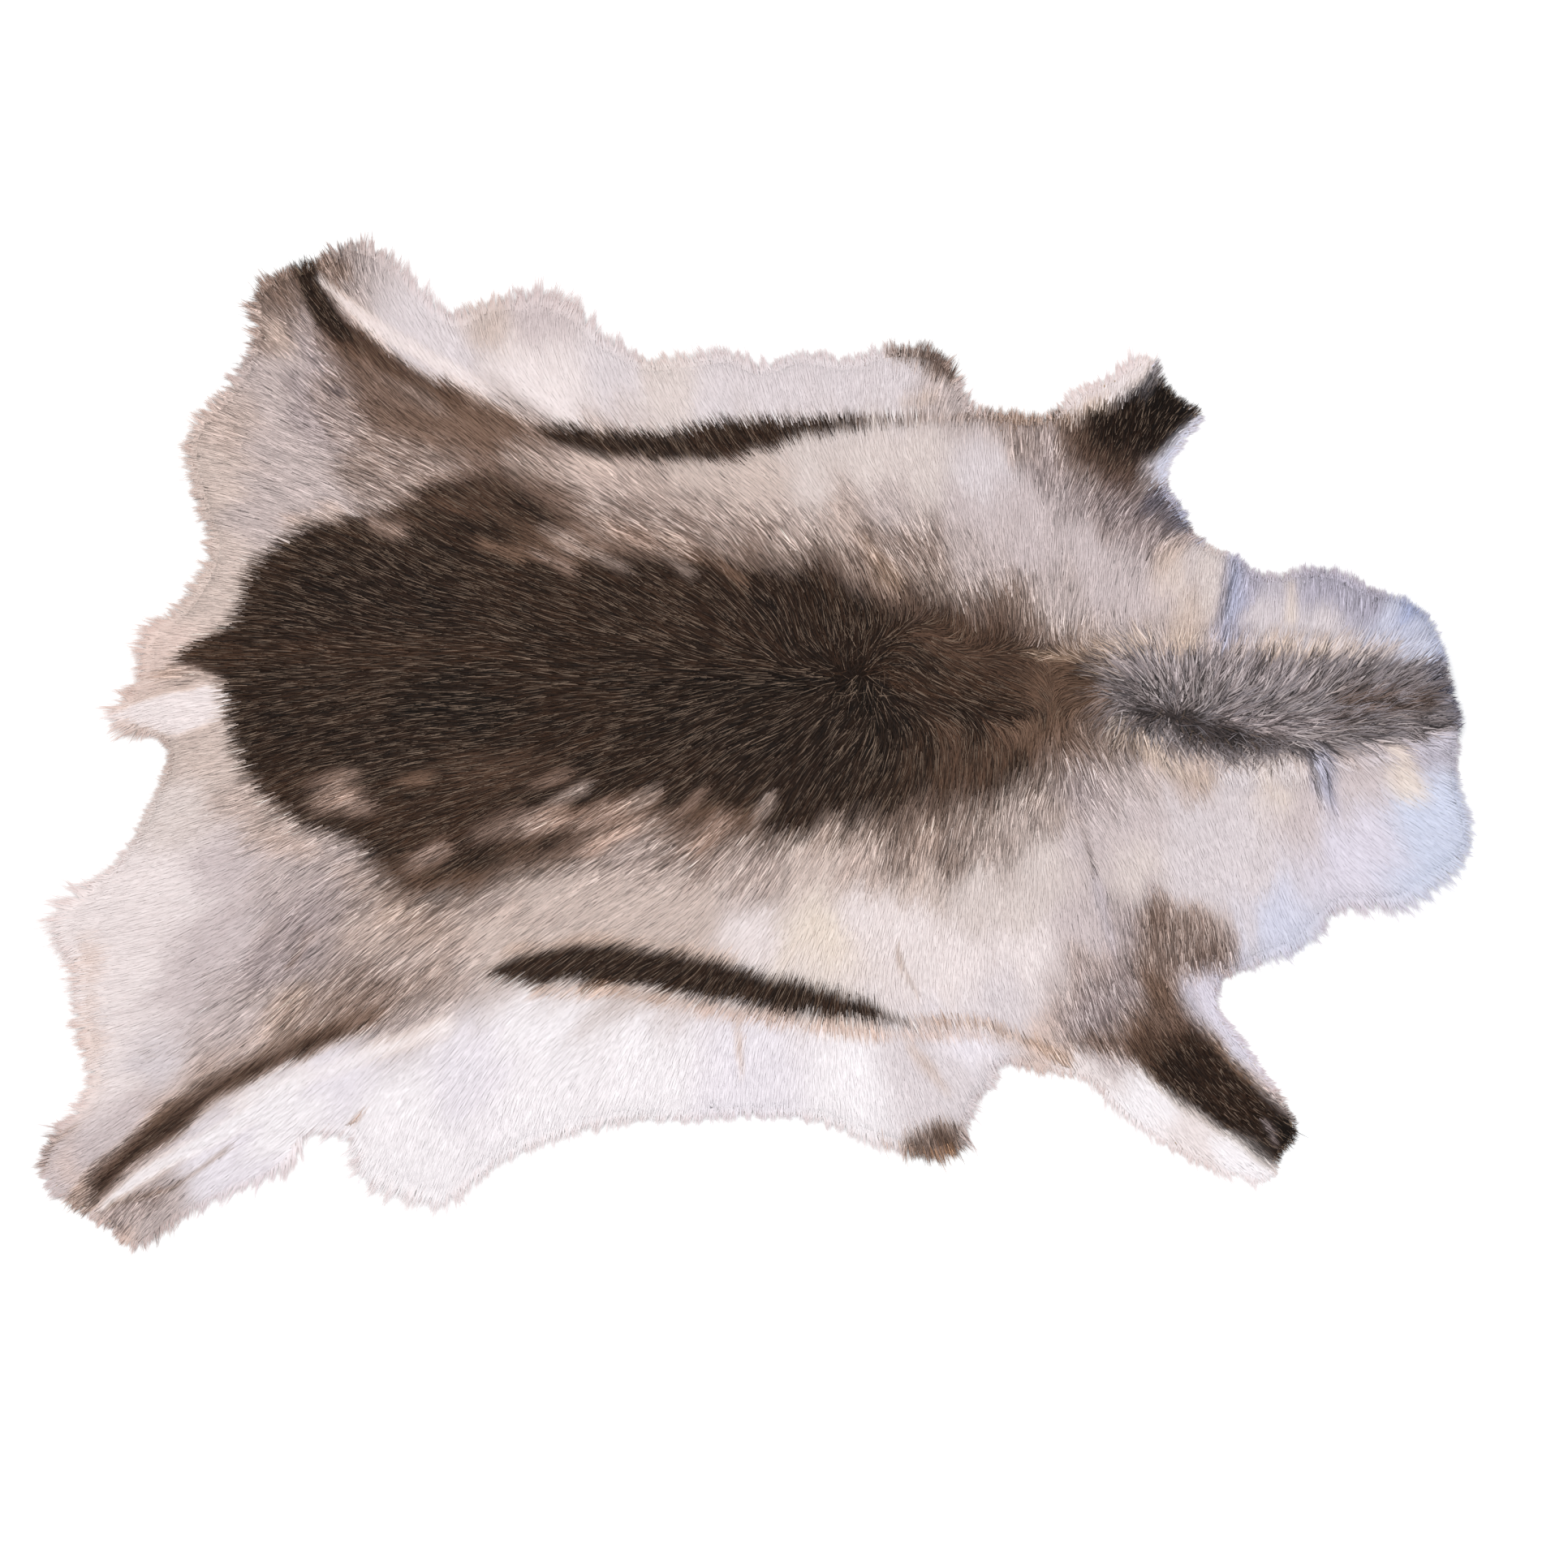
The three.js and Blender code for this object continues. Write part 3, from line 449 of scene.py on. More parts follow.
# Which way the hair's tips point, in degrees from +X. Columns: x, y, heading.
HAIR_LIE = {
    "rump": [
        (-560, 88, 188), (-550, 40, 195), (-500, 100, 176), (-450, 100, 178), (-500, 180, 168),
        (-505, 250, 170), (-470, 320, 158), (-330, 190, 150), (-400, 150, 162), (-380, 260, 158),
        (-350, 20, 190), (-450, 0, 195), (-400, -50, 205), (-500, -60, 198), (-420, -150, 220),
        (-480, -180, 208), (-560, -180, 193), (-600, -220, 192), (-620, -150, 195),
        (-400, -250, 225), (-560, -280, 200),
    ],
    "back": [
        (-250, 70, 180), (-100, 70, 182), (20, 60, 186), (-200, 120, 158), (-100, 130, 150),
        (-60, 100, 155), (0, 110, 135), (-150, 0, 200), (-120, -60, 212), (-40, 20, 212),
        (-20, -30, 222), (60, 20, 232), (60, -40, 240), (120, -20, 243), (40, 110, 104),
        (40, 85, 98), (90, 100, 100), (110, 130, 112), (0, 160, 132), (-80, 180, 150),
        (85, 78, 80), (62, 62, 190), (40, 46, 204), (0, 42, 202), (80, 42, 226), (0, 78, 170),
        (50, 74, 165), (-180, 90, 170), (-60, 45, 192), (-200, 40, 190),
    ],
    "flank above": [
        (-150, 230, 150), (0, 240, 142), (100, 220, 128), (150, 230, 115), (170, 200, 112),
        (-100, 280, 128), (-30, 280, 124), (50, 295, 112), (100, 298, 98), (150, 300, 92),
        (-200, 280, 140), (140, 170, 125), (200, 150, 112), (200, 110, 105), (250, 250, 92),
        (240, 200, 95), (200, 250, 95), (250, 290, 88),
    ],
    "thigh above": [
        (-400, 350, 137), (-420, 420, 122), (-350, 440, 95), (-370, 400, 125), (-300, 330, 135),
        (-300, 380, 118), (-440, 380, 140), (-300, 260, 152), (-230, 300, 140),
    ],
    "belly above": [
        (-240, 390, 100), (-200, 390, 92), (-165, 390, 78), (-150, 340, 110), (-60, 330, 112),
        (20, 330, 104), (100, 330, 90), (160, 340, 75), (185, 320, 60),
    ],
    "front leg above": [
        (330, 320, 82), (370, 320, 62), (400, 305, 35), (340, 280, 75), (300, 250, 70),
        (370, 260, 50), (370, 220, 40), (330, 220, 55), (390, 205, 20), (300, 330, 95),
    ],
    "shoulder above": [
        (300, 180, 88), (350, 180, 70), (300, 130, 82), (350, 130, 85), (400, 150, 84),
        (260, 120, 95), (300, 100, 80), (400, 105, 88),
    ],
    "neck above": [
        (440, 150, 80), (500, 140, 90), (540, 120, 88), (600, 110, 66), (480, 105, 92),
        (560, 150, 95), (620, 95, 40),
    ],
    "whorl at the withers": [
        (88, 56, 250), (104, 84, 60), (124, 70, 330), (140, 55, 330), (150, 80, 320),
        (180, 72, 328), (210, 62, 335), (240, 48, 345), (160, 35, 345), (220, 36, 355),
        (262, 60, 310), (270, 45, 300), (150, 15, 262), (200, 10, 262), (250, 8, 262),
        (268, 28, 240), (290, 22, 350), (300, 12, 320), (292, 45, 215), (310, 40, 235),
        (285, 62, 190),
    ],
    "mane": [
        (300, 52, 170), (285, 45, 200), (292, 30, 250), (318, 66, 160), (335, 76, 140),
        (345, 60, 140), (350, 48, 135), (370, 72, 108), (385, 70, 92), (400, 66, 75),
        (430, 70, 75), (450, 60, 65), (470, 70, 60), (500, 62, 52), (530, 66, 46),
        (560, 62, 36), (560, 40, 22), (600, 62, 22), (600, 40, 8), (630, 55, 12),
        (630, 25, 4), (360, 40, 140), (388, 44, 95), (415, 44, 60), (430, 30, 12),
        (450, 22, 18), (480, 18, 10), (510, 16, 18), (540, 18, 16), (570, 20, 8),
        (340, 28, 260), (330, 45, 200), (370, 18, 290), (390, 12, 290), (410, 4, 290),
        (430, -2, 280), (460, -8, 270), (480, -10, 275), (500, -8, 280), (540, -2, 300),
        (590, 2, 320), (480, 88, 80), (560, 88, 70), (400, 88, 88), (610, 84, 40),
    ],
    "shoulder below": [
        (355, -8, 305), (330, -30, 300), (300, -10, 285), (260, -31, 250), (400, -60, 290),
        (300, -70, 300), (350, -90, 292), (220, -60, 262), (180, -60, 256), (240, -120, 268),
        (300, -140, 280), (150, -100, 258), (420, -20, 295), (450, -30, 278),
    ],
    "neck below": [
        (515, -30, 282), (500, -90, 290), (550, -100, 322), (450, -120, 285), (600, -60, 325),
        (640, -60, 335), (640, -10, 345), (600, -10, 320), (560, -30, 310), (480, -160, 295),
        (560, -135, 310), (620, -100, 325),
    ],
    "front leg below": [
        (380, -170, 272), (420, -180, 280), (350, -230, 295), (400, -300, 308), (450, -340, 318),
        (350, -310, 302), (300, -220, 285), (410, -240, 300), (430, -270, 312), (480, -350, 320),
        (300, -280, 300), (250, -270, 300),
    ],
    "flank below": [
        (-200, -120, 215), (-100, -150, 212), (-100, -200, 212), (0, -150, 235), (0, -220, 235),
        (50, -225, 252), (100, -170, 255), (100, -240, 278), (150, -250, 292), (180, -180, 265),
        (60, -90, 243), (-200, -190, 215), (220, -240, 285),
    ],
    "belly below": [
        (190, -300, 298), (150, -340, 285), (100, -300, 278), (0, -280, 262), (0, -325, 268),
        (-100, -280, 250), (-150, -250, 222), (-200, -330, 255), (-300, -350, 252),
        (-330, -385, 245), (-240, -280, 235), (-300, -270, 222),
    ],
    "hind leg below": [
        (-450, -340, 217), (-400, -320, 222), (-560, -350, 215), (-620, -400, 212),
        (-520, -400, 222), (-570, -440, 235), (-500, -290, 218), (-640, -370, 195),
    ],
}

# How long the hairs show, and how far they pass the skin's edge. Columns: x, y, length, reach.
HAIR_LENGTH = [
    (-400, 100, 19, 8), (-100, 60, 19, 6), (100, 20, 18, 6), (-560, 60, 26, 20),
    (-585, 30, 24, 22), (-530, 0, 20, 6), (-560, -80, 20, 7), (-610, -165, 26, 28),
    (-600, -210, 25, 20), (-610, -250, 24, 20), (-500, 230, 20, 15), (-500, 150, 20, 17),
    (-452, 400, 12, 16), (-420, 438, 12, 12), (-340, 430, 15, 15), (-250, 395, 22, 15),
    (-195, 400, 26, 22),
    (-60, 350, 20, 14), (100, 350, 18, 13), (220, 302, 15, 12), (320, 335, 9, 10),
    (360, 350, 9, 12), (385, 320, 8, 4),
    (390, 260, 8, 3), (390, 205, 12, 5), (500, 150, 22, 9), (620, 100, 20, 6),
    (645, 0, 18, 5), (645, -70, 22, 10), (600, -115, 26, 24), (550, -135, 24, 18),
    (480, -178, 24, 16), (425, -220, 9, 3), (445, -270, 8, 2),
    (470, -310, 8, 2), (495, -350, 8, 2), (440, -375, 12, 8), (380, -345, 12, 7),
    (300, -290, 14, 8), (230, -285, 17, 10), (150, -365, 20, 14), (0, -330, 22, 11),
    (-180, -345, 24, 14), (-300, -390, 30, 20), (-340, -380, 30, 24), (-400, -350, 24, 12),
    (-560, -440, 12, 8), (-630, -390, 12, 10), (-610, -300, 24, 16), (300, -100, 17, 6),
    (450, 45, 24, 6), (500, -70, 23, 6), (0, 220, 18, 6), (0, -200, 19, 6),
    (380, 180, 16, 6),
]


# The ground plan: the frame's solid seen from above

PLAN_STEP = 2.5
PLAN_MARGIN = 45

hide_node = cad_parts["reindeer_hide"]
low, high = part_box("reindeer_hide")
plan_x = np.arange(low.x / MM - PLAN_MARGIN, high.x / MM + PLAN_MARGIN, PLAN_STEP)
plan_y = np.arange(low.y / MM - PLAN_MARGIN, high.y / MM + PLAN_MARGIN, PLAN_STEP)
plan_xx, plan_yy = np.meshgrid(plan_x, plan_y)


def at(field, x, y):
    """A field of the plan at any points, from the four nearest of its own."""
    u = np.clip((x - plan_x[0]) / PLAN_STEP, 0, len(plan_x) - 1.001)
    v = np.clip((y - plan_y[0]) / PLAN_STEP, 0, len(plan_y) - 1.001)
    i = u.astype(int)
    j = v.astype(int)
    fu = (u - i).reshape(u.shape + (1,) * (field.ndim - 2))
    fv = (v - j).reshape(u.shape + (1,) * (field.ndim - 2))
    lower = field[j, i] * (1 - fu) + field[j, i + 1] * fu
    upper = field[j + 1, i] * (1 - fu) + field[j + 1, i + 1] * fu
    return lower * (1 - fv) + upper * fv


def blurred(field, radius):
    """A field smoothed over about that radius, by three passes of a running mean each way."""
    reach = max(1, round(radius / PLAN_STEP))
    width = 2 * reach + 1
    for _ in range(3):
        for axis in (0, 1):
            pad = [(0, 0)] * field.ndim
            pad[axis] = (reach + 1, reach)
            total = np.cumsum(np.pad(field, pad, mode="edge"), axis=axis)
            ahead = np.take(total, range(width, total.shape[axis]), axis=axis)
            behind = np.take(total, range(0, total.shape[axis] - width), axis=axis)
            field = (ahead - behind) / width
    return field


def grain(scale, seed):
    """Smooth seeded noise of about that scale, with a mean of 0 and a spread of 1."""
    noise = np.random.default_rng(seed).standard_normal(plan_xx.shape)
    noise = blurred(noise, scale) if scale > PLAN_STEP else noise
    return (noise - noise.mean()) / noise.std()


def solid_depth():
    """The height of the frame's hide over the floor at each point of the plan, 0 off it."""
    solid = hide_node.data
    corners = [v.co for v in solid.vertices]
    tree = BVHTree.FromPolygons(corners, [p.vertices for p in solid.polygons])
    down = Vector((0, 0, -1))
    depth = np.zeros(plan_xx.shape)
    for j, y in enumerate(plan_y):
        for i, x in enumerate(plan_x):
            hit = tree.ray_cast(Vector((x * MM, y * MM, 1)), down)[0]
            if hit is not None:
                depth[j, i] = hit.z / MM
    return depth


def edge_distance(inside):
    """How far each point of the plan lies within the outline, below zero outside it."""
    grown = np.pad(inside, 1)
    ringed = grown[:-2, 1:-1] & grown[2:, 1:-1] & grown[1:-1, :-2] & grown[1:-1, 2:]
    rows, columns = np.nonzero(inside & ~ringed)
    tree = KDTree(len(rows))
    for k, (j, i) in enumerate(zip(rows, columns)):
        tree.insert((plan_x[i], plan_y[j], 0), k)
    tree.balance()
    away = [tree.find((x, y, 0))[2] for y in plan_y for x in plan_x]
    away = np.array(away).reshape(inside.shape)
    return np.where(inside, away, -away)


SOLID_SMOOTHING = 8  # evens out the frame's flat faces
OUTLINE_SMOOTHING = 3  # evens out the frame's rim spikes, which the fringe stands for

raw_depth = solid_depth()
inside = blurred((raw_depth > 0).astype(float), OUTLINE_SMOOTHING) > 0.5
covered = blurred((raw_depth > 0).astype(float), SOLID_SMOOTHING)
coat_depth = blurred(raw_depth, SOLID_SMOOTHING) / np.maximum(covered, 0.05)
edge = blurred(edge_distance(inside), PLAN_STEP)


# The lie of the hair and its markings, worked out over the plan

def nearby_mean(rows, values, softening):
    """The mean of a table's values at each point of the plan, the nearer rows weighing more."""
    total = np.zeros(plan_xx.shape + (values.shape[1],))
    weights = np.zeros(plan_xx.shape)
    for (x, y), value in zip(rows, values):
        away = (plan_xx - x) ** 2 + (plan_yy - y) ** 2 + softening**2
        weight = away**-2
        total += weight[..., None] * value
        weights += weight
    return total / weights[..., None]


def flat_rows(table):
    return [row for rows in table.values() for row in rows]


LIE_SMOOTHING = 8
TONE_SMOOTHING = 14
LENGTH_SMOOTHING = 25


def hair_lie():
    """The direction that the hairs' tips point in over the plan."""
    rows = flat_rows(HAIR_LIE)
    headings = np.radians([row[2] for row in rows])
    waves = np.stack([np.cos(headings), np.sin(headings)], axis=1)
    lie = nearby_mean([row[:2] for row in rows], waves, LIE_SMOOTHING)
    lie = blurred(lie, LIE_SMOOTHING)
    return lie / np.maximum(np.linalg.norm(lie, axis=2, keepdims=True), 1e-6)


lie = hair_lie()


def combed(field, reach):
    """A field smeared along the lie of the hair."""
    total = np.zeros_like(field)
    steps = max(1, round(reach / PLAN_STEP))
    for k in range(-steps, steps + 1):
        x = plan_xx + lie[..., 0] * k * PLAN_STEP
        y = plan_yy + lie[..., 1] * k * PLAN_STEP
        total += at(field, x, y)
    return total / (2 * steps + 1)


def unit(field):
    return (field - field.mean()) / field.std()


fine_streaks = unit(combed(grain(PLAN_STEP, 11), 10))
broad_streaks = unit(combed(grain(6, 12), 24))
lumps = grain(22, 13)

MARKING_REACH = 40  # how far past a marking its softened edge is worked out
EDGE_RAGGED = 0.35  # how much the streaks of hair break up a marking's edge
MIXING = 0.18  # how far dark and pale hairs mix at an edge, as a share of its softness
MIXING_MOST = 4
MIXING_LEAST = 1.2
EDGE_TINT = np.array([0.05, -0.01, -0.07])  # how much browner two tones look where they meet
TINT_CONTRAST = 0.3  # tones that differ by this or more get the whole tint


def line_distance(x, y, points):
    """Distance from (x, y) to a line of points, and how wide the line is at the nearest place."""
    nearest = np.full(x.shape, np.inf)
    width = np.zeros(x.shape)
    for a, b in zip(points, points[1:]):
        dx = b[0] - a[0]
        dy = b[1] - a[1]
        t = ((x - a[0]) * dx + (y - a[1]) * dy) / (dx * dx + dy * dy)
        t = np.clip(t, 0, 1)
        away = np.hypot(x - a[0] - t * dx, y - a[1] - t * dy)
        closer = away < nearest
        nearest = np.where(closer, away, nearest)
        if len(a) > 2:
            width = np.where(closer, a[2] + (b[2] - a[2]) * t, width)
    return nearest, width


def within(x, y, outline):
    """Whether each place lies inside an outline."""
    crossings = np.zeros(x.shape, bool)
    for a, b in zip(outline, outline[1:] + outline[:1]):
        if a[1] == b[1]:
            continue
        spans = (a[1] > y) != (b[1] > y)
        crossings ^= spans & (x < a[0] + (y - a[1]) / (b[1] - a[1]) * (b[0] - a[0]))
    return crossings


def joined(under, over, cover):
    """One tone laid over another; where they meet, the mixed hair looks browner than either."""
    between = 4 * cover * (1 - cover)
    contrast = np.abs(under - over).mean(axis=-1, keepdims=True)
    tint = 1 + EDGE_TINT * between * np.clip(contrast / TINT_CONTRAST, 0, 1)
    return (under * (1 - cover) + over * cover) * tint


def paint(coat, points, tone, softness, strength, depth_of):
    """Lays one marking's tone over the coat, full where its depth passes half its softness."""
    margin = MARKING_REACH + softness
    xs = [p[0] for p in points]
    ys = [p[1] for p in points]
    rows = slice(*np.searchsorted(plan_y, (min(ys) - margin, max(ys) + margin)))
    columns = slice(*np.searchsorted(plan_x, (min(xs) - margin, max(xs) + margin)))
    x = plan_xx[rows, columns]
    y = plan_yy[rows, columns]
    depth = depth_of(x, y) + EDGE_RAGGED * softness * 0.5 * broad_streaks[rows, columns]
    depth += EDGE_RAGGED * softness * 0.25 * lumps[rows, columns]
    blend = min(MIXING * softness, MIXING_MOST) * strength * np.exp(-((depth / softness) ** 2))
    mixing[rows, columns] = np.maximum(mixing[rows, columns], blend)
    cover = np.clip(0.5 + depth / softness, 0, 1)
    cover = (cover * cover * (3 - 2 * cover) * strength)[..., None]
    coat[rows, columns] = joined(coat[rows, columns], TONE[tone], cover)


def line_depth(line):
    """The depth of places within a line of (x, y, width)."""
    def depth_of(x, y):
        away, wide = line_distance(x, y, line)
        return wide / 2 - away
    return depth_of


def outline_depth(outline):
    """The depth of places within an outline."""
    def depth_of(x, y):
        away = line_distance(x, y, outline + outline[:1])[0]
        return np.where(within(x, y, outline), away, -away)
    return depth_of


COMB_WARP = 8  # how far the lie of the hair draws out the soft tones, one way or the other


def drawn_out(coat):
    """The coat's soft tones pulled into combed mottles along the lie of the hair."""
    shift = COMB_WARP * broad_streaks
    x = plan_xx + lie[..., 0] * shift
    y = plan_yy + lie[..., 1] * shift
    return at(coat, x, y)


edge_softness = line_distance(plan_xx, plan_yy, SADDLE + SADDLE[:1])[1]
saddle_depth = outline_depth(SADDLE)(plan_xx, plan_yy)

# How far along the lie a hair may take its colour from: farthest at the soft edges.
mixing = np.minimum(MIXING * edge_softness, MIXING_MOST)
mixing = MIXING_LEAST + mixing * np.exp(-((saddle_depth / edge_softness) ** 2))


def coat_colours():
    """The coat's colour over the plan, its markings as charted tables."""
    rows = flat_rows(GROUND)
    tones = np.array([TONE[row[2]] for row in rows])
    coat = nearby_mean([row[:2] for row in rows], tones, TONE_SMOOTHING)
    saddle = np.zeros_like(coat) + TONE["bistre"]
    for _, tone, softness, strength, line in SADDLE_TONES:
        paint(saddle, line, tone, softness, strength, line_depth(line))
    depth = saddle_depth + EDGE_RAGGED * edge_softness * (0.3 * broad_streaks + 0.15 * lumps)
    cover = np.clip(0.5 + (depth + 3) / (edge_softness * 1.1), 0, 1)[..., None]
    cover = cover * cover * (3 - 2 * cover)
    coat = joined(drawn_out(coat), drawn_out(saddle), cover)
    for _, tone, softness, strength, outline in PATCHES:
        paint(coat, outline, tone, softness, strength, outline_depth(outline))
    for x0, y0, length, width, heading, tone, strength in MOTTLES:
        turn = math.radians(heading)
        along = (math.cos(turn) * length / 2, math.sin(turn) * length / 2)
        ends = [(x0 - along[0], y0 - along[1], width), (x0 + along[0], y0 + along[1], width * 0.6)]
        paint(coat, ends, tone, width * 0.7, min(1, strength * 1.2), line_depth(ends))
    for _, tone, softness, strength, line in STROKES:
        paint(coat, line, tone, softness, strength, line_depth(line))
    return coat


coat_colour = coat_colours()

length_values = np.array([row[2:] for row in HAIR_LENGTH], float)
length_map = nearby_mean([row[:2] for row in HAIR_LENGTH], length_values, LENGTH_SMOOTHING)


# Materials

def add_node(tree, kind, settings, links):
    """Adds a node with its settings and its sockets' values, and links the sockets it is given."""
    node = tree.nodes.new(kind)
    for name, value in settings.items():
        if name.startswith("in:"):
            node.inputs[name[3:]].default_value = value
        else:
            setattr(node, name, value)
    for name, source in links.items():
        tree.links.new(source, node.inputs[name])
    return node


def new_material(name, values):
    """A material with these values in its shader's sockets, with its node tree and shader."""
    material = bpy.data.materials.new(name)
    material.use_nodes = True
    tree = material.node_tree
    shader = tree.nodes["Principled BSDF"]
    for socket, value in values.items():
        shader.inputs[socket].default_value = value
    return material, tree, shader


def noise(tree, scale, detail):
    """Smooth noise whose marks are about 1 / scale metres across."""
    place = add_node(tree, "ShaderNodeTexCoord", {}, {})
    settings = {"in:Scale": scale, "in:Detail": detail}
    links = {"Vector": place.outputs["Object"]}
    return add_node(tree, "ShaderNodeTexNoise", settings, links).outputs["Fac"]


def ranged(tree, source, low, high):
    """A noise's values brought between these two."""
    settings = {"in:To Min": low, "in:To Max": high}
    return add_node(tree, "ShaderNodeMapRange", settings, {"Value": source}).outputs["Result"]


def coat_tone(tree, shader, shade):
    """Gives a shader the colours of the piece's own points, made lighter and darker by a shade."""
    colour = add_node(tree, "ShaderNodeAttribute", {"attribute_name": "coat_colour"}, {})
    settings = {"data_type": "RGBA", "blend_type": "MULTIPLY", "in:Factor": 1.0}
    shaded = add_node(tree, "ShaderNodeMix", settings, {})
    tree.links.new(colour.outputs["Color"], shaded.inputs["A"])
    tree.links.new(shade, shaded.inputs["B"])
    tree.links.new(shaded.outputs["Result"], shader.inputs["Base Color"])


def embossed(tree, shader, height, strength, distance):
    """Lets the light show a noise as fine bumps."""
    settings = {"in:Strength": strength, "in:Distance": distance}
    bump = add_node(tree, "ShaderNodeBump", settings, {"Height": height})
    tree.links.new(bump.outputs["Normal"], shader.inputs["Normal"])


def hair_material():
    """Reindeer guard hair, air-filled keratin: matte, a soft sheen along its length, each hair
    its own shade of the coat's markings."""
    material, tree, shader = new_material("reindeer_guard_hair", {
        "IOR": 1.55, "Specular IOR Level": 0.12, "Sheen Weight": 0.02, "Sheen Roughness": 0.6})
    # Faint bands of painted light and shade along a hair, about 3 mm apart, for where it dips among its
    # neighbours.
    bands = noise(tree, 330.0, 2.0)
    coat_tone(tree, shader, ranged(tree, bands, 0.95, 1.05))
    tree.links.new(ranged(tree, bands, 0.55, 0.8), shader.inputs["Roughness"])
    return material


hair_finish = hair_material()


def undercoat_material():
    """Reindeer underfur, fine crimped wool matted close to the skin: dull, and darkened with painted
    shade where it shows in the gaps among the hairs.
    """
    material, tree, shader = new_material("reindeer_underfur", {
        "IOR": 1.55, "Specular IOR Level": 0.15, "Roughness": 0.95})
    # Tufts of wool about 2 mm across.
    tufts = noise(tree, 480.0, 3.0)
    coat_tone(tree, shader, ranged(tree, tufts, 0.86, 1.04))
    embossed(tree, shader, tufts, 0.8, 0.001)
    return material


def skin_material():
    """Oil-tanned reindeer skin, the flesh side buffed to a suede nap: pale, dry and mottled."""
    material, tree, shader = new_material("oil_tanned_suede", {
        "IOR": 1.5, "Specular IOR Level": 0.3, "Sheen Weight": 0.2})
    # Cloudy tan marks about 60 mm across, from the oil.
    clouds = noise(tree, 16.0, 4.0)
    tone = add_node(tree, "ShaderNodeMix", {"data_type": "RGBA"}, {"Factor": clouds})
    tone.inputs["A"].default_value = (*linear("E2CDB2"), 1)
    tone.inputs["B"].default_value = (*linear("C9AC89"), 1)
    tree.links.new(tone.outputs["Result"], shader.inputs["Base Color"])
    # The nap of the buffed fibres, about 1 mm.
    nap = noise(tree, 900.0, 3.0)
    tree.links.new(ranged(tree, nap, 0.75, 0.95), shader.inputs["Roughness"])
    embossed(tree, shader, nap, 0.4, 0.0004)
    return material


# Skin and undercoat

SKIN_THICKNESS = 1.5
SKIN_INSET = 3  # the skin's edge lies this far inside the solid's outline
SKIN_STEP = 12
UNDERCOAT_INSET = 5
UNDERCOAT_STEP = 7
UNDERCOAT_BOTTOM = 1.0  # it starts inside the skin, so no gap shows
UNDERCOAT_SINK = 3.4  # how far the underfur stays below the coat's surface
UNDERCOAT_LEAST = 1.2  # its thickness at the least


def outline_sheet(step, inset):
    """A flat grid trimmed to the hide's outline, its rim drawn onto the outline."""
    bm = bmesh.new()
    columns = math.ceil((plan_x[-1] - plan_x[0]) / step)
    rows = math.ceil((plan_y[-1] - plan_y[0]) / step)
    bmesh.ops.create_grid(bm, x_segments=columns, y_segments=rows, size=0.5)
    middle = Vector(((plan_x[0] + plan_x[-1]) / 2, (plan_y[0] + plan_y[-1]) / 2, 0))
    bmesh.ops.scale(bm, vec=(columns * step, rows * step, 1), verts=bm.verts)
    bmesh.ops.translate(bm, vec=middle, verts=bm.verts)
    x = np.array([v.co.x for v in bm.verts])
    y = np.array([v.co.y for v in bm.verts])
    slope_y, slope_x = np.gradient(edge, PLAN_STEP)
    close = np.abs(at(edge, x, y) - inset) < 0.7 * step
    for _ in range(3):
        gap = at(edge, x, y) - inset
        gx = at(slope_x, x, y)
        gy = at(slope_y, x, y)
        pull = np.where(close, gap / np.maximum(gx * gx + gy * gy, 0.3), 0)
        x = x - pull * gx
        y = y - pull * gy
    gap = at(edge, x, y) - inset
    bm.verts.ensure_lookup_table()
    for v, vx, vy in zip(bm.verts, x, y):
        v.co.x = vx
        v.co.y = vy
    outside = [v for v, g in zip(bm.verts, gap) if g < -0.12 * step]
    bmesh.ops.delete(bm, geom=outside, context="VERTS")
    loose = [v for v in bm.verts if not v.link_faces]
    bmesh.ops.delete(bm, geom=loose, context="VERTS")
    return bm


def closed_slab(bm, top_of, bottom):
    """Turns a trimmed grid into a closed slab, level underneath."""
    top = list(bm.faces)
    grown = bmesh.ops.extrude_face_region(bm, geom=top, use_keep_orig=True)
    lifted = [e for e in grown["geom"] if isinstance(e, bmesh.types.BMVert)]
    x = np.array([v.co.x for v in lifted])
    y = np.array([v.co.y for v in lifted])
    for v, z in zip(lifted, top_of(x, y)):
        v.co.z = z
    raised = set(lifted)
    for v in bm.verts:
        if v not in raised:
            v.co.z = bottom
    bmesh.ops.scale(bm, vec=(MM, MM, MM), verts=bm.verts)
    bmesh.ops.recalc_face_normals(bm, faces=bm.faces)
    return bm


def to_piece(name, mesh, material):
    piece = bpy.data.objects.new(name, mesh)
    bpy.context.scene.collection.objects.link(piece)
    mesh.materials.append(material)
    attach(piece, "root")
    return piece


def slab_piece(name, step, inset, top_of, bottom, material):
    bm = closed_slab(outline_sheet(step, inset), top_of, bottom)
    mesh = bpy.data.meshes.new(name)
    bm.to_mesh(mesh)
    bm.free()
    return to_piece(name, mesh, material)


def undercoat_top(x, y):
    least = UNDERCOAT_BOTTOM + UNDERCOAT_LEAST
    return np.maximum(at(coat_depth, x, y) - UNDERCOAT_SINK, least)


hide_skin = slab_piece("hide_skin", SKIN_STEP, SKIN_INSET,
                       lambda x, y: np.full(x.shape, SKIN_THICKNESS), 0.0,
                       skin_material())
undercoat = slab_piece("undercoat", UNDERCOAT_STEP, UNDERCOAT_INSET, undercoat_top,
                       UNDERCOAT_BOTTOM, undercoat_material())


def colour_vertices(mesh, colours):
    rgba = np.ones((len(mesh.vertices), 4), np.float32)
    rgba[:, :3] = np.clip(colours, 0, 1)
    layer = mesh.color_attributes.new("coat_colour", "FLOAT_COLOR", "POINT")
    layer.data.foreach_set("color", rgba.ravel())


